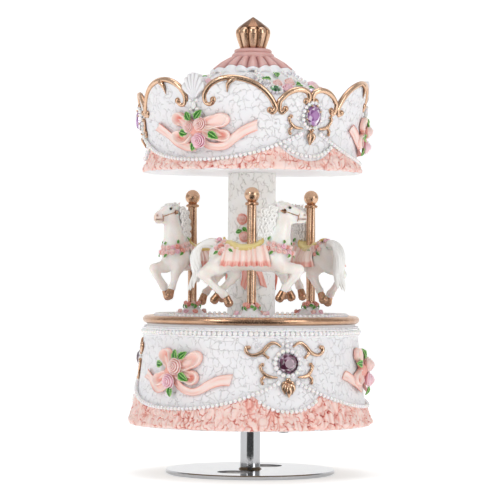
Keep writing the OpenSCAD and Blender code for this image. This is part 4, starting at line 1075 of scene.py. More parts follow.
def melt(a, b, softness):
    """The union of two distance fields, rounded where they meet."""
    h = np.clip(0.5 + 0.5 * (b - a) / softness, 0, 1)
    return b * (1 - h) + a * h - softness * h * (1 - h)


def tapered(p, a, b):
    """Distance to a rod whose radius runs from one end's to the other's."""
    a, b = np.asarray(a, float), np.asarray(b, float)
    along = b[:3] - a[:3]
    t = np.clip(((p - a[:3]) @ along) / (along @ along), 0, 1)
    gap = p - a[:3] - t[..., None] * along
    return np.linalg.norm(gap, axis=-1) - (a[3] + (b[3] - a[3]) * t)


def horse_field():
    """How far each point of a grid is from the skin of the horse, less than 0 inside."""
    axes = [FIELD_LOW[k] + VOXEL * np.arange(FIELD_SIZE[k]) for k in range(3)]
    p = np.stack(np.meshgrid(*axes, indexing="ij"), -1)
    field = np.full(p.shape[:3], FAR)
    for middle, radii, softness in MASSES:
        q = (p - np.array(middle)) / np.array(radii)
        length = np.linalg.norm(q, axis=-1)
        field = melt(field, (length - 1) * min(radii), softness)
    narrow = p * [1, 1.28, 1]
    for rods, softness in ((NECK, 2.5), (FACE, 1.2), (JAW, 1.2)):
        for a, b in zip(rods, rods[1:]):
            field = melt(field, tapered(narrow, a, b), softness)
    for leg in LEGS:
        limb = np.full(field.shape, FAR)
        for a, b in zip(leg, leg[1:]):
            limb = melt(limb, tapered(p, a, b), 0.6)
        field = melt(field, limb, 1.6)
    for side in (-1, 1):
        ear = tapered(p, (11.6, side * 1.5, 118.8, 1.0), (10.2, side * 2.0, 120.8, 0.4))
        brow = tapered(p, (15.6, side * 2.1, 118.7, 0.9), (17.2, side * 2.0, 118.2, 0.7))
        field = melt(melt(field, ear, 0.5), brow, 0.8)
        nostril = np.linalg.norm(p - [NOSTRIL[0], side * NOSTRIL[1], NOSTRIL[2]], axis=-1) - 0.6
        field = np.maximum(field, -nostril)
        mouth = tapered(p, (19.8, side * 1.7, 113.0, 0.35), (23.4, side * 1.0, 113.3, 0.35))
        field = np.maximum(field, -mouth)
    return field


def net(field, corner, step):
    """Turns a distance field into a closed mesh, with a point in each cell the surface crosses."""
    n = np.array(field.shape) - 1
    total = np.zeros((*n, 3))
    count = np.zeros(n)
    for axis in range(3):
        for u, v in product((0, 1), repeat=2):
            start = np.insert([u, v], axis, 0)
            end = np.insert([u, v], axis, 1)
            a, b = (field[tuple(slice(k, k + m) for k, m in zip(low_end, n))] for low_end in (start, end))
            hit = (a < 0) != (b < 0)
            t = np.where(hit, a / np.where(hit, a - b, 1), 0)
            for k in range(3):
                total[..., k] += hit * (start[k] + (t if k == axis else 0))
            count += hit
    used = count > 0
    index = np.full(n, -1)
    index[used] = np.arange(used.sum())
    cells = np.argwhere(used)
    points = corner + (cells + total[used] / count[used][:, None]) * step
    quads = []
    for axis in range(3):
        b, c = (axis + 1) % 3, (axis + 2) % 3
        upper = np.moveaxis(field, (axis, b, c), (0, 1, 2))
        cell = np.moveaxis(index, (axis, b, c), (0, 1, 2))
        x, y = upper[:-1, 1:-1, 1:-1] < 0, upper[1:, 1:-1, 1:-1] < 0
        i, j, k = np.nonzero(x != y)
        quad = np.stack([cell[i, j, k], cell[i, j + 1, k], cell[i, j + 1, k + 1], cell[i, j, k + 1]], -1)
        quads.append(np.where(x[i, j, k][:, None], quad, quad[:, ::-1]))
    return points, np.vstack(quads)


def relaxed(points, quads):
    """Smooths a mesh a little without shrinking it."""
    pairs = np.vstack([quads[:, [k, (k + 1) % 4]] for k in range(4)])
    for weight in (0.5, -0.52):
        total, count = np.zeros_like(points), np.zeros(len(points))
        np.add.at(total, pairs[:, 0], points[pairs[:, 1]])
        np.add.at(count, pairs[:, 0], 1)
        points = points + weight * (total / count[:, None] - points)
    return points


FIELD = horse_field()
HORSE_POINTS, HORSE_QUADS = net(FIELD, FIELD_LOW, VOXEL)
HORSE_POINTS = relaxed(HORSE_POINTS, HORSE_QUADS)


def cell_at(value, axis):
    """The place in the field, along one axis, of a coordinate."""
    steps = np.round((np.asarray(value) - FIELD_LOW[axis]) / VOXEL).astype(int)
    return np.clip(steps, 0, FIELD_SIZE[axis] - 1)


def flank(x, z, side):
    """How far out the horse's skin is, on one side, at a place along and up."""
    y = FIELD_LOW[1] + VOXEL * np.arange(FIELD_SIZE[1])
    inside = FIELD[cell_at(x, 0), :, cell_at(z, 2)] < 0
    return np.max(np.where(inside, y * side, 0), axis=-1) + VOXEL / 2


def on_flank(x, z, side, out):
    """A point over the skin of one flank."""
    return [x, side * (float(flank(x, z, side)) + out), z]


def back(x):
    """The height of the horse's back along its middle."""
    z = FIELD_LOW[2] + VOXEL * np.arange(FIELD_SIZE[2])
    inside = (FIELD[cell_at(x, 0), FIELD_SIZE[1] // 2, :] < 0) & (z < 106)
    return np.max(np.where(inside, z, 0), axis=-1)


def softened(values, reach):
    """Averages a grid of values over its neighbours."""
    for axis in (0, 1):
        wide = np.pad(values, [(reach, reach) if k == axis else (0, 0) for k in (0, 1)], mode="edge")
        values = sum(np.roll(wide, k, axis) for k in range(-reach, reach + 1)) / (2 * reach + 1)
        values = values.take(range(reach, values.shape[axis] - reach), axis)
    return values


def at_horse(drawn, index):
    """A copy of a shape drawn round the pole, moved to one of the three horses."""
    turn = turn_z(index * 120 + HORSE_YAW[index])
    foot = around(index * 120, POLE_RING, 0)
    made = Shape()
    made.points = [points @ turn.T + foot for points in drawn.points]
    made.faces, made.tones, made.kinds, made.total = drawn.faces, drawn.tones, drawn.kinds, drawn.total
    return made


def joined(shapes):
    """Several shapes as one."""
    made = Shape()
    for s in shapes:
        made.points += s.points
        made.tones += s.tones
        made.faces += [f + made.total for f in s.faces]
        made.kinds += s.kinds
        made.total += s.total
    return made


hide, hair, leather, cloth, garland, tack = (Shape() for _ in range(6))
x, y, z = HORSE_POINTS.T
# Painted shade under the belly, where the head meets the neck and down the lower legs, with a darker muzzle
# and a random mottle; dark paints shade into the carved nostrils and the mouth line.
nose = np.exp(-((x - 24) ** 2 + (z - 113.6) ** 2) / 5)
shade = 0.5 * nose + 0.35 * np.exp(-((z - 91.5) / 2.6) ** 2) * (np.abs(x) < 14)
shade = shade + 0.3 * np.exp(-((x - 14) ** 2 + (z - 112) ** 2) / 6) + 0.25 * np.clip((84 - z) / 6, 0, 1)
shade = shade + 0.3 * np.clip(cloud(HORSE_POINTS / 4, 77), 0, 1)
dark = np.exp(-(((x - NOSTRIL[0]) ** 2 + (z - NOSTRIL[2]) ** 2) / 0.4) ** 2) * (np.abs(y) > 0.6)
dark = np.maximum(dark, np.exp(-((z - 113.1) / 0.45) ** 4) * (x > 20.2) * (np.abs(y) > 0.5))
hide.add(HORSE_POINTS, [HORSE_QUADS], np.clip(0.65 * np.clip(shade, 0, 1) + 0.8 * dark, 0, 1))
for ankle, tip in HOOVES:
    ankle, tip = np.array(ankle, float), np.array(tip, float)
    way = ankle + (tip - ankle) * np.linspace(0, 1, 6)[:, None]
    tube(tack, way, np.array([1.5, 1.7, 1.75, 1.8, 1.9, 2.0]), 20, tone=0.35)
for side in (-1, 1):
    eye = np.array(on_flank(16.5, 118.0, side, 0.02))
    hide.ball(eye, [0.72, 0.45, 0.6], kind=1)
    lid = eye + np.array([[-1.0, 0.1 * side, 0.1], [-0.3, 0.3 * side, 0.8], [0.9, 0.05 * side, 0.4]])
    tube(hide, smooth_path(lid, 5), 0.22, 8, tone=0.55)

# Mane: a full body of hair behind the neck, covered with small curls, and a curly forelock
def curl(middle, side, size, phase, radius=0.36):
    """A flat spiral lock that lies on one side of the mane."""
    way = np.linspace(0, 3.6 * np.pi, 30)
    reach = size * (1 - way / 14)
    spiral = ellipse(way + phase, reach, reach, side * 0.35 * np.sin(way / 3))[:, [0, 2, 1]]
    tube(hair, spiral + middle, np.interp(way, (0, 3, 11.3), (0.2, radius, radius * 0.8)), 7,
         tone=0.18 * np.abs(np.sin(way + phase)))


body = smooth_path([[10.2, 0, 118.6], [7.4, 0, 116.0], [6.0, 0, 112.0], [5.6, 0, 108.0], [5.4, 0, 105.0],
                    [4.6, 0, 103.4]])
girth = np.interp(np.linspace(0, 1, len(body)), (0, 0.2, 0.5, 0.8, 1), (1.6, 2.2, 2.3, 2.1, 1.5))
# The core under the curls is darker, as painted shade between them.
tube(hair, body, girth, 20, tone=0.4)
for i in range(9):
    z = 104.4 + 1.66 * i
    inner = np.interp(z, (103, 106, 110, 116, 119), (6.2, 8.0, 8.8, 9.6, 10.8))
    outer = np.interp(z, (103, 106, 112, 116, 119), (4.2, 3.9, 3.7, 5.0, 8.6))
    for j in range(4):
        h = chance(i, j, 5, 31)
        x = inner + (outer - inner) * (j + 0.5 * (i % 2)) / 3.4
        for side in (-1, 1):
            y = side * (np.interp(j, (0, 1.5, 3), (3.0, 2.5, 1.1)) + 0.4 * h)
            curl([x + 0.4 * h, y, z + 0.5 * (h - 0.5)], side, 1.15 + 0.4 * h, 6.3 * h + i, 0.5)
for i in range(9):
    h = chance(i, 9, 2, 8)
    spot = [12.0 + 0.55 * i, (-1) ** i * (0.9 + 0.8 * h), 120.1 - 0.09 * i + 0.3 * h]
    curl(spot, (-1) ** i, 0.75 + 0.2 * h, 6.3 * h, 0.3)

# Tail: combed strands that arch off the rump and flare at the tip
for j in range(13):
    ring = 0.0 if j == 0 else 1.0
    middle = smooth_path([[-14.4, 0, 100.7], [-17.4, 0, 102.3], [-20.8, 0, 102.2], [-23.2, 0, 100.4],
                          [-24.4, 0, 97.2], [-24.2, 0, 93.4], [-23.4, 0, 90.4], [-24.5, 0, 87.4],
                          [-25.2, 0, 84.4]], 4)
    t = np.linspace(0, 1, len(middle))
    girth = np.interp(t, (0, 0.15, 0.45, 0.75, 1), (0.9, 1.7, 1.8, 1.6, 2.2)) * ring
    twist = j * 2.4 + t * 1.2
    way = middle + ellipse(twist, girth * 0.9, girth * 1.05, 0.8 * girth * np.cos(twist))
    way[:, 0] += 0.5 * np.sin(t * 10 + j) * t
    way[:, 2] -= 1.2 * chance(j, 1, 1, 3) * t ** 3
    r = np.interp(t, (0, 0.2, 0.7, 0.92, 1), (0.65, 0.85, 0.85, 0.6, 0.25))
    # edge: painted shade on each strand's sides
    tube(hair, way, r, 10, tone=0.2 * np.abs(np.sin(t * 8 + j)), edge=0.3)

# Saddle: a crescent that hangs over both flanks, with darker edges
s = np.linspace(-1, 1, 36)
sx = -3.5 + 8.4 * s
edge_z = 99.6 + np.where(s < 0, 3.5, 3.0) * np.abs(s) ** 2.2
ridge_z = np.maximum(102.2 + np.where(s < 0, 2.6, 2.0) * np.abs(s) ** 2.2, back(sx) + 0.3)
half = np.convolve(np.pad(flank(sx, edge_z, -1) + 0.85, 3, mode="edge"), np.ones(7) / 7, "valid")
half = half * (1 - 0.25 * s ** 8)
t = np.radians(np.linspace(-90, 90, 31))
over = np.stack(np.broadcast_arrays(sx[:, None] + 0 * t, half[:, None] * np.sin(t),
                                    edge_z[:, None] + (ridge_z - edge_z)[:, None] * np.cos(t) ** 0.8), -1)
under = over[:, ::-1] * [1, 0.86, 1] - [0, 0, 0.9]
# The underside is darker, as painted shade.
tones = np.concatenate([0.05 + 0.35 * np.abs(t) ** 6 / 8 + 0 * sx[:, None], 0.8 + 0 * over[..., 0]], 1)
leather.rings(np.concatenate([over, under], 1), tones)
for end in (0, -1):
    tube(leather, over[end], 0.55, 10, tone=0.6)
for side in (0, -1):
    tube(leather, over[:, side], 0.32, 8, tone=0.45)

# Saddle cloth: a skirt of uneven pleats down each side, with a wrinkled coral hem
u = np.linspace(0, 1, 190)[:, None]
w = np.linspace(0, 1, 28)[None, :]
for side in (-1, 1):
    cx = (-11.6 + 17.8 * u) * (1 - w) + (-13.9 + 22.4 * u) * w + 0.12 * np.sin(u * 70)
    top = 100.4 + 1.7 * (2 * u - 0.95) ** 2
    cz = top + (92.5 + 0.25 * np.sin(u * 44) - top) * w
    wave = np.sin(2 * np.pi * 7.5 * u + 1.4 * np.sin(9 * u + 1) + 0.8 * np.sin(19 * u))
    hem_w = np.clip((w - 0.7) / 0.3, 0, 1)
    wrinkle = np.sin(2 * np.pi * 19 * u + 2 * np.sin(31 * u)) + 0.6 * np.sin(2 * np.pi * 33 * u + 6 * w)
    fine = np.sin(2 * np.pi * 27 * u)
    pleat = wave * (0.18 + 0.5 * w) + hem_w * 0.3 * wrinkle + 0.12 * fine * (1 - w) ** 3
    cy = softened(flank(cx, cz, side), 7) + 0.75 + 1.0 * w ** 1.8 + pleat
    skin = np.stack(np.broadcast_arrays(cx, side * cy, cz), -1)
    behind = skin - np.array([0, side * 0.6, 0])
    # The hem is a coral band. Painted shade in the pleat valleys; the hem's wrinkle valleys are darker too,
    # partly painted shade and partly red dabs.
    tones = 0.42 * np.clip(hem_w * 3, 0, 1) + 0.35 * np.clip(-wave, 0, 1) ** 1.5
    tones = tones + 0.5 * hem_w * np.clip(-wrinkle, 0, 1)
    tones = np.clip(tones + 0.3 * (1 - w) ** 8 * np.clip(fine, 0, 1), 0, 1)
    cloth.rings(np.concatenate([skin, behind[:, ::-1]], 1), np.concatenate([tones, tones[:, ::-1]], 1))

# Garlands of roses round the chest and bunches of them on the rump, with small leaves
for i in range(13):
    b = math.radians(-118 + 236 * i / 12)
    for row in range(2):
        spot = np.array([10.4 + (6.4 + 0.9 * row) * math.cos(b), (4.9 + 0.7 * row) * math.sin(b),
                         101.9 - 2.3 * row - 1.4 * math.cos(b)])
        out = unit([math.cos(b), math.sin(b), 0.35])
        turned = facing(math.degrees(math.atan2(out[0], -out[1])), 20)
        size = 1.2 + 0.25 * ((i + row) % 2)
        garland.copy(SMALL_ROSE, turned * size, spot, (0, 0, 3, 0, 2)[(3 * i + 2 * row) % 5])
        if (i + 2 * row) % 3 == 0:
            leafed = turned @ turn_z(70 + 150 * row) * 2.1
            garland.copy(LEAF, leafed, spot + out * 0.5 + [0, 0, 1 - 2 * row], kind=1)


def flank_leaf(shape, side, tilt, direction, size, spot, kind=0):
    """A leaf that lies on one flank. Its direction is mirrored on the other."""
    level = facing(0 if side < 0 else 180, tilt)
    shape.copy(LEAF, level @ turn_z(direction if side < 0 else 180 - direction) * size, spot, kind)


for side in (-1, 1):
    for x, z, size, kind in ((-15.4, 102.4, 1.5, 0), (-13.2, 101.1, 1.35, 3), (-14.0, 104.0, 1.2, 2),
                             (-11.8, 102.8, 1.5, 0), (-12.4, 99.4, 1.4, 0), (-10.6, 101.0, 1.25, 0),
                             (-15.2, 100.2, 1.25, 0), (-13.6, 97.9, 1.0, 3)):
        turned = facing(0 if side < 0 else 180, 12 + 6 * (z - 98))
        garland.copy(SMALL_ROSE, turned * size, on_flank(x, z, side, 0.45), kind)
    for x, z, direction in ((-14.6, 98.9, 215), (-10.0, 99.9, -35), (-16.4, 101.4, 170)):
        flank_leaf(garland, side, 10, direction, 2.3, on_flank(x, z, side, 0.7), 1)

# Bridle: a thin noseband, and a cheek strap that ends in a gold leaf
t = np.linspace(0, 2 * np.pi, 33)
noseband = np.stack([20.3 + 0.55 * np.sin(t), 1.95 * np.cos(t), 114.1 + 2.35 * np.sin(t)], -1)
tube(tack, noseband, 0.2, 8, tone=0.3)
for side in (-1, 1):
    s = np.linspace(0, 1, 14)
    bx, bz = 14.6 + 5.8 * s, 116.3 - 1.9 * s
    strap = np.stack([bx, side * (flank(bx, bz, side) + 0.1), bz], -1)
    tube(tack, smooth_path(strap, 2), 0.25, 8, tone=0.2)
    for direction, size in ((172, 2.6), (128, 1.6), (218, 1.4)):
        spot = np.array(on_flank(14.9, 116.2, side, 0.3)) + [0, 0, 0.1]
        flank_leaf(tack, side, 0, direction, size, spot)

for index, node in enumerate(("horse_front", "horse_right", "horse_left")):
    piece(node.replace("horse", "pony"), at_horse(hide, index), "carousel", [HORSE, EYE],
          [node])
for name, drawn, slot, surfaces, nodes in (
        ("manes_tails", hair, "horse_resin", HAIR, ()),
        ("saddles_gilt", leather, "saddle_resin", SADDLE, ("saddles",)),
        ("saddle_skirts", cloth, "cloth_resin", CLOTH, ("saddle_cloths",)),
        ("bridles_hooves", tack, "gold_paint", GOLD, ()),
        ("horse_blooms", garland, "rose_resin", [ROSE_PEACH, GREEN, ROSE_LILAC, ROSE_CORAL],
         ("horse_garlands",))):
    piece(name, joined([at_horse(drawn, i) for i in range(3)]), "carousel", surfaces, nodes)

# ---- canopy ----

crown = Shape()
crackled_wall(crown, crown_r, CEILING, crown_top(bearings(WALL_COLUMNS)), 2.6, WALL_COLUMNS, 170, 57)
piece("crown_crackled", crown, "carousel", RESIN, ["canopy_crown"])

frill = Shape()
ruffle(frill, crown_r, CEILING, hem(bearings(RUFFLE_COLUMNS), 138, CROWN_SWAG, CROWN_JEWEL),
       (0.1, 0.7, 1.0, 1.1, 0.9, 0.7, 0.35), 1.0, 71, rows=34)
piece("canopy_frill", frill, "carousel", RUFFLE, ["canopy_ruffle"])

swags = Shape()
for t in THIRDS:
    swag_pearls(swags, CROWN_SWAG + t, 54, 138.4, CROSSING, crown_r)
    swag_pearls(swags, CROWN_JEWEL + t, 14.2, 140, 60 - CROSSING, crown_r)
piece("canopy_swags", swags, "carousel", PEARL, ["canopy_pearl_swags"])


def crown_edge(start, end, count):
    """Points (angle from the bow, height) along the crown's top."""
    p = np.linspace(start, end, count)
    return np.stack([p, crown_top(CROWN_BOW + p) + 0.1], -1)


trim = Shape()
BIG_ARCH = np.vstack([[[10.2, 163.8], [9.4, 162.4], [7.5, 161.9], [5.8, 163.0]], crown_edge(5.6, 40.6, 22),
                      [[41.6, 160.2], [40.2, 158.6], [38.6, 159.4]]])
SMALL_ARCH = np.vstack([[[46.6, 160.0], [45.2, 158.4], [43.6, 159.4]], crown_edge(43.4, 58.4, 12),
                        [[59.1, 164.8], [58.3, 163.2], [57.2, 163.6]]])
for t in THIRDS:
    for line in (BIG_ARCH, SMALL_ARCH):
        for side in (-1, 1):
            path = around(CROWN_BOW + t + side * line[:, 0], crown_r(line[:, 1]) - 0.35, line[:, 1])
            path = smooth_path(path, 4)
            k = np.linspace(0, 1, len(path))
            # edge: painted shade on the arch's sides
            tube(trim, path, 1.25 - 0.35 * np.exp(-((k - 0.08) / 0.05) ** 2), 16, out=outward(path), edge=0.7)
            for end in (path[0], path[-1]):
                trim.ball(end + outward(end) * 0.3, 1.4, 0.15)
    for side in (-1, 1):
        hook = [[side * 2.6, 0.2, 0.2], [side * 0.2, -0.9, 0.8], [-side * 1.6, -2.6, 0.8],
                [-side * 2.2, -6.0, 0.4]]
        # edge: painted shade on the hook's sides
        wall_tube(trim, hook, (0.5, 1.1, 1.0, 0.15), CROWN_BOW + t + side * 20, 172.8, crown_r, edge=0.8)
piece("crown_scrolls", trim, "carousel", GOLD, ["crown_trim"])

SHELL_Z, SHELL_R, SHELL_SPREAD, SHELL_RIBS = 164.2, 48.9, 68, 7
shells = Shape()
for t in THIRDS:
    g = np.radians(np.linspace(-SHELL_SPREAD, SHELL_SPREAD, 61))
    q = np.linspace(0.06, 1, 16)
    rib = np.abs(np.cos(np.degrees(g) * np.pi / (2 * SHELL_SPREAD) * SHELL_RIBS)) ** 0.6
    reach = q[None, :] * (10.8 + 0.6 * rib[:, None] * q[None, :])
    flat = np.stack([0.52 * reach * np.sin(g)[:, None], reach * np.cos(g)[:, None],
                     1.2 + 1.5 * np.sin(q * 2.4)[None, :] + 0.9 * rib[:, None] * q[None, :]], -1)
    rear = flat[:, ::-1].copy()
    rear[..., 2] = -1.0
    # Painted shade in the grooves between the ribs.
    tones = np.concatenate([1.0 * (1 - rib[:, None]) ** 1.5 * q[None, :], 0 * q + 0 * rib[:, None]], 1)
    bent = wrapped(np.concatenate([flat, rear], 1), CROWN_BOW + t, SHELL_Z, lambda z: SHELL_R + 0 * z)
    shells.rings(bent, tones)
    for x, y, r, tall in ((0, -2.6, 1.1, 1.75), (-1.6, -0.6, 0.8, 1), (1.6, -0.6, 0.8, 1),
                          (-1.5, -4.4, 0.85, 1), (1.5, -4.4, 0.85, 1), (-0.8, -6.0, 0.8, 1),
                          (0.8, -6.0, 0.8, 1), (0, -7.4, 0.75, 1)):
        spot = wrapped([[x, y, 1.2]], CROWN_BOW + t, SHELL_Z, crown_r)[0]
        shells.add(FINE_BALL[0] * [r, r, r * tall] + spot, FINE_BALL[1], 0, 1)
piece("crown_fans", shells, "carousel", [RESIN, PEARL], ["crown_shells"])

CROWN_JEWEL_Z, CROWN_BOW_Z = 157.4, 152.0
scrolls, stones, stone_pearls = Shape(), Shape(), Shape()
for t in THIRDS:
    jewel = CROWN_JEWEL + t
    for path, size in ((LOWER, 0.9), (LOWER_BRANCH, 0.8)):
        scroll(scrolls, path, jewel, CROWN_JEWEL_Z, crown_r, size, 0.92)
    for side in (-1, 1):
        # edge: painted shade on the scroll's sides
        wall_tube(scrolls, [[side * 0.3, -7.2, 1.2], [side * 1.0, -9.0, 1.5], [side * 0.2, -12.2, 0.8]],
                  (0.5, 1.25, 0.35), jewel, CROWN_JEWEL_Z, crown_r, edge=0.5)
    knob = wrapped([[0, -6.2, 1.0]], jewel, CROWN_JEWEL_Z, crown_r)[0]
    scrolls.ball(knob, [1.3, 1.3, 0.8], 0.2)
    origin = around(jewel, float(crown_r(CROWN_JEWEL_Z)) + 1.9, CROWN_JEWEL_Z)
    stone(stones, facing(jewel) @ np.diag([3.2, 4.4, 3.2]), origin)
    pearls(stone_pearls, wrapped(ellipse(angles(18), 4.5, 5.5, 0.9), jewel, CROWN_JEWEL_Z, crown_r), 0.88)
    for q in range(8):
        b = math.radians(22.5 + 45 * q)
        prong = wrapped([[3.2 * math.cos(b), 4.4 * math.sin(b), 1.9]], jewel, CROWN_JEWEL_Z, crown_r)[0]
        scrolls.ball(prong, 0.5)

bands, blooms, greens = Shape(), Shape(), Shape()
for t in THIRDS:
    bow(bands, blooms, greens, CROWN_BOW + 0.6 + t, CROWN_BOW_Z, crown_r, *CROWN_BOW_PARTS)


def roof_z(r):
    """The height of the roof's slope at a radius."""
    return ROOF_LOW + 20.1 * (46 - np.asarray(r, float)) / 31 + 1.6


def on_roof(azimuth, r, lift=0.0):
    """The (matrix, origin) of something that lies on the roof's slope."""
    return facing(azimuth, 54), around(azimuth, r, float(roof_z(r)) + lift)


roof = Shape()
shoulder = roof_z(15)
roof_line = [[45.6, ROOF_LOW], [46, ROOF_LOW + 1.6], [38, roof_z(38)], [30, roof_z(30)], [22, roof_z(22)],
             [15, shoulder], [9, shoulder + 3.9], [0.5, shoulder + 3.9], [0.5, shoulder + 1.9],
             [8, shoulder + 1.9], [15, shoulder - 2.2], [30, roof_z(30) - 2.2]]
dense = np.vstack([np.linspace(p, q, 14)[:-1] for p, q in zip(roof_line, roof_line[1:] + roof_line[:1])])
revolve(roof, dense, 420, wobble=lambda p: 0.22 * cloud(p / 2.2, 14) + 0.12 * cloud(p / 0.8, 15))
piece("roof_cone", roof, "carousel", RESIN, ["roof"])

# Scattered on the roof, in each third: roses as (azimuth, radius, size, colour), leaves as (azimuth, radius,
# spin, size), stones as (azimuth, radius, size, kind) and flowers of pearls as (azimuth, radius)
ROOF_ROSES = ((22.4, 28.3, 2.2, 0), (28.6, 32.2, 2.7, 1), (35.7, 27.4, 2.5, 0), (-22, 30, 2.5, 0),
              (-30, 27, 2.2, 1), (66, 30, 2.4, 0), (74, 27, 2.1, 1))
ROOF_LEAVES = ((27, 23.5, 80, 4.6), (17.5, 26, 150, 4.0), (33, 34.5, -60, 4.2), (41, 29, 10, 4.4),
               (-15, 30, 20, 4.4), (-36, 30, 190, 4.2), (60, 31, 170, 4.2), (80, 29, 10, 4.0))
ROOF_STONES = ((-3, 25, 2.7, 3), (11.4, 29, 1.9, 3), (17.5, 33, 2.25, 2), (51.5, 34, 2.5, 0),
               (88, 32, 2.3, 0))
ROOF_FLOWERS = ((7, 22.5), (46, 24), (-10, 36))
for t in THIRDS:
    for azimuth, r, size, colour in ROOF_ROSES:
        matrix, origin = on_roof(azimuth + t, r, 0.6)
        blooms.copy(ROSE, matrix @ turn_z(azimuth * 7) * size, origin, colour)
    for azimuth, r, spin, size in ROOF_LEAVES:
        matrix, origin = on_roof(azimuth + t, r, 0.7)
        greens.copy(LEAF, matrix @ turn_z(spin) * size, origin)
    for azimuth, r, size, kind in ROOF_STONES:
        matrix, origin = on_roof(azimuth + t, r, 1.2)
        stone(stones, matrix * size, origin, kind)
        halo = ellipse(angles(12), size + 0.75, size + 0.75, -0.3)
        pearls(stone_pearls, halo @ matrix.T + origin, 0.72)
    for azimuth, r in ROOF_FLOWERS:
        matrix, origin = on_roof(azimuth + t, r, 0.7)
        petals = ellipse(angles(6), 1.5, 1.5)
        pearls(stone_pearls, np.vstack([petals @ matrix.T, [[0, 0, 0.4]]]) + origin, 0.85)
    for azimuth in (44, 58, 4, -44):
        r = np.arange(19, 44, 1.55)
        sweep_a = azimuth + t + 6 * np.sin((r - 19) / 25 * 3)
        pearls(stone_pearls, around(sweep_a, r, roof_z(r) + 0.5), 0.78)
piece("canopy_scrollwork", scrolls, "carousel", GOLD, ["canopy_scrolls"])
piece("canopy_stones", stones, "carousel", [LILAC, FOIL, EMERALD, CLEAR], ["canopy_gems"],
      smooth=False)
piece("canopy_stone_pearls", stone_pearls, "carousel", PEARL, ["canopy_gem_pearls"])
piece("canopy_ribbons", bands, "carousel", RIBBON, ["canopy_bows"])
piece("canopy_blooms", blooms, "carousel", [ROSE_PEACH, ROSE_LILAC], ["canopy_roses"])
piece("canopy_greens", greens, "carousel", GREEN, ["canopy_leaves"])

# The skirt under the finial: pleats that end in a broad white scalloped edge
skirt = Shape()
a = bearings(600)
s = np.linspace(0, 1, 60)
pleat = np.abs(np.cos(np.radians(a * 9 + 14 * np.sin(np.radians(a * 4)))))[:, None] ** 0.7
fall = np.interp(s, (0, 0.3, 0.6, 0.85, 1), (186.4, 185.0, 182.8, 180.0, 178.6))
r = np.interp(s, (0, 0.3, 0.6, 0.85, 1), (8.0, 10.8, 14.2, 17.2, 18.6))
ride = np.interp(s, (0, 0.2, 1), (0.15, 0.9, 1.1)) * (pleat - 0.6)
scallop = np.cos(np.radians(a * 5 + 20 * np.sin(np.radians(a * 3))))[:, None]
outer = around(a[:, None], r + 0.6 * ride + 0.4 * s ** 3 * scallop,
               fall + 1.1 * ride + 0.55 * s ** 2 * scallop)
lower = outer[:, ::-1] - [0, 0, 1.0]
lower[:, :, :2] *= 0.985
border = np.clip((s - 0.76 - 0.09 * scallop) / 0.05, 0, 1)
# Painted shade in the pleat valleys, on the pink pleats and faintly on the white border.
shade = (1 - border) * np.minimum(0.1 + 0.75 * (1 - pleat), 0.72) + border * (0.9 - 0.1 * (1 - pleat))
skirt.rings(np.concatenate([outer, lower], 1), np.concatenate([shade, 0.95 + 0 * shade], 1), closed_path=True)
piece("roof_pleats", skirt, "carousel", COLLAR, ["roof_skirt"])

collar = Shape()
for r, z, wide, tall in ((7.9, 186.1, 1.7, 1.7), (7.2, 188.5, 1.2, 1.0)):
    revolve(collar, oval(r, z, wide, tall, 20), 160, tone=0.12, wobble=lambda p: 0.08 * cloud(p / 1.6, 3))
core = [[0.5, COLLAR_LOW], [7.4, COLLAR_LOW], [6.6, FINIAL_LOW + 0.1], [0.5, FINIAL_LOW + 0.1]]
revolve(collar, core, 96, tone=0.5)
piece("collar_rings", collar, "carousel", COLLAR, ["finial_collar"])

# Finial: rounded flutes that widen upwards, under a dark faceted point
POINT_LOW = FINIAL_LOW + 9.3
knob = Shape()
a = bearings(240)
z = np.linspace(FINIAL_LOW, POINT_LOW, 30)
flute = np.abs(np.cos(np.radians(a * 5)))[:, None] ** 0.6
r = np.interp(z - FINIAL_LOW, (0, 1, 4, 6.8, 8.4, 9.3), (5.8, 6.2, 7.3, 8.1, 7.9, 7.0))
lobes = around(a[:, None], r - 1.1 * (1 - flute), z)
facet = np.cos(np.radians(18)) / np.cos(np.radians((a + 18) % 36 - 18))[:, None]
rise = np.linspace(0, 1, 14)
tall = FINIAL_TOP - POINT_LOW
point = around(a[:, None], (7.0 * (1 - rise ** 1.15) + 0.12) * facet, POINT_LOW + tall * rise)
# Painted shade in the flute grooves.
tones = np.concatenate([0.9 * (1 - flute) + 0 * z, 0.72 + 0.2 * (1 - facet) + 0 * rise], 1)
knob.rings(np.concatenate([lobes, point], 1).transpose(1, 0, 2), tones.T)
piece("finial_fluted", knob, "carousel", GOLD, ["finial"])

# ---- the room, the lights and the camera, in metres ----

def sheet(name, points, faces, surface):
    """A staged mesh of the room."""
    mesh = bpy.data.meshes.new(name)
    mesh.from_pydata(points, [], faces)
    for f in mesh.polygons:
        f.use_smooth = len(faces) > 1
    mesh.materials.append(surface)
    made = bpy.data.objects.new(name, mesh)
    bpy.context.scene.collection.objects.link(made)
    return made


def backdrop():
    """A pale sheet that runs under the object and curves up behind it."""
    near, bend, radius, top, half_width = -2.4, 1.1, 0.35, 2.0, 2.2
    line = [(near, 0.0), (bend, 0.0)]
    line += [(bend + radius * math.sin(t), radius - radius * math.cos(t)) for t in np.linspace(0.1, 1.57, 14)]
    line.append((bend + radius, top))
    points = [(x, y, z) for y, z in line for x in (-half_width, half_width)]
    paper = plain("backdrop_paper", (0.95, 0.95, 0.95), (0.7, 0.9), (0.995, 0.995, 0.995), 3, 0.5, bump=0.0,
                  Specular_IOR_Level=0.1, Emission_Color=(1, 1, 1, 1), Emission_Strength=0.38)
    sheet("backdrop", points, [tuple(f) for f in grid_faces(len(line), 2)], paper)


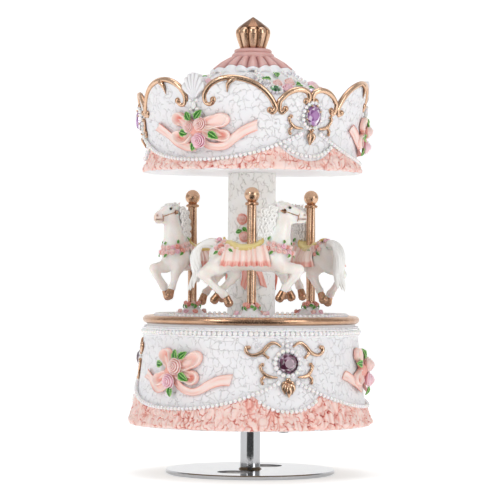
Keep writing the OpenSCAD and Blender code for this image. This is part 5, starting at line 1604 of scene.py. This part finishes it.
def lamp(name, at, size, power):
    """A white area light that is aimed at the middle of the object."""
    light = bpy.data.lights.new(name, "AREA")
    light.shape = "RECTANGLE"
    light.size, light.size_y = size
    light.energy = power
    made = bpy.data.objects.new(name, light)
    made.location = at
    away = unit(np.array(at, float) - [0, 0, 0.1])
    side = unit(np.cross([0.0, 0.0, 1.0], away)) if abs(away[2]) < 0.99 else np.array([1.0, 0, 0])
    made.rotation_euler = Matrix(np.stack([side, np.cross(away, side), away], 1).tolist()).to_euler()
    bpy.context.scene.collection.objects.link(made)


def flag():
    """A dark card on the floor before the object that only mirror-like surfaces see: it gives the
    polished stem and the gold their dark stripes."""
    corners = [(-0.06, -0.07, 0.001), (0.06, -0.07, 0.001), (0.7, -0.9, 0.001), (-0.7, -0.9, 0.001)]
    card = plain("flag_card", (0.03, 0.03, 0.03), (0.7, 0.9), (1, 1, 1), 260, 0.5)
    made = sheet("flag", corners, [(0, 1, 2, 3)], card)
    made.visible_camera = made.visible_diffuse = made.visible_shadow = made.visible_transmission = False


backdrop()
flag()
lamp("key", (-0.75, -0.85, 0.75), (0.35, 0.35), 3.0)
lamp("left_strip", (-0.55, -0.85, 0.13), (0.1, 0.7), 0.75)
lamp("right_strip", (0.62, -0.8, 0.13), (0.1, 0.7), 0.9)
lamp("fill", (0.85, -0.7, 0.45), (0.3, 0.8), 2.2)
lamp("top", (0.0, 0.05, 1.0), (0.6, 0.6), 2.2)


def studio_walls():
    """Soft light from all round, dimmer on the camera's side of the room."""
    world = bpy.data.worlds.new("studio")
    world.use_nodes = True
    nodes, links = world.node_tree.nodes, world.node_tree.links
    way, part = nodes.new("ShaderNodeTexCoord"), nodes.new("ShaderNodeSeparateXYZ")
    dim = nodes.new("ShaderNodeMapRange")
    dim.interpolation_type = "SMOOTHSTEP"
    for socket, value in (("From Min", -0.97), ("From Max", -0.6), ("To Min", 0.2), ("To Max", 0.44)):
        dim.inputs[socket].default_value = value
    links.new(way.outputs["Generated"], part.inputs["Vector"])
    links.new(part.outputs["Y"], dim.inputs["Value"])
    links.new(dim.outputs["Result"], nodes["Background"].inputs["Strength"])
    nodes["Background"].inputs["Color"].default_value = (1, 1, 1, 1)
    bpy.context.scene.world = world


studio_walls()

camera = bpy.data.cameras.new("camera")
camera.sensor_width = 36
camera.lens = 177.6
camera.clip_end = 10
viewer = bpy.data.objects.new("camera", camera)
viewer.location = (-0.0007, -1.103, 0.093)
viewer.rotation_mode = "XYZ"
viewer.matrix_world = (Matrix.Translation(viewer.location) @ Matrix.Rotation(math.radians(90 + 0.35), 4, "X")
                       @ Matrix.Rotation(math.radians(0.4), 4, "Z"))
bpy.context.scene.collection.objects.link(viewer)
bpy.context.scene.camera = viewer
bpy.context.scene.view_settings.view_transform = "Standard"
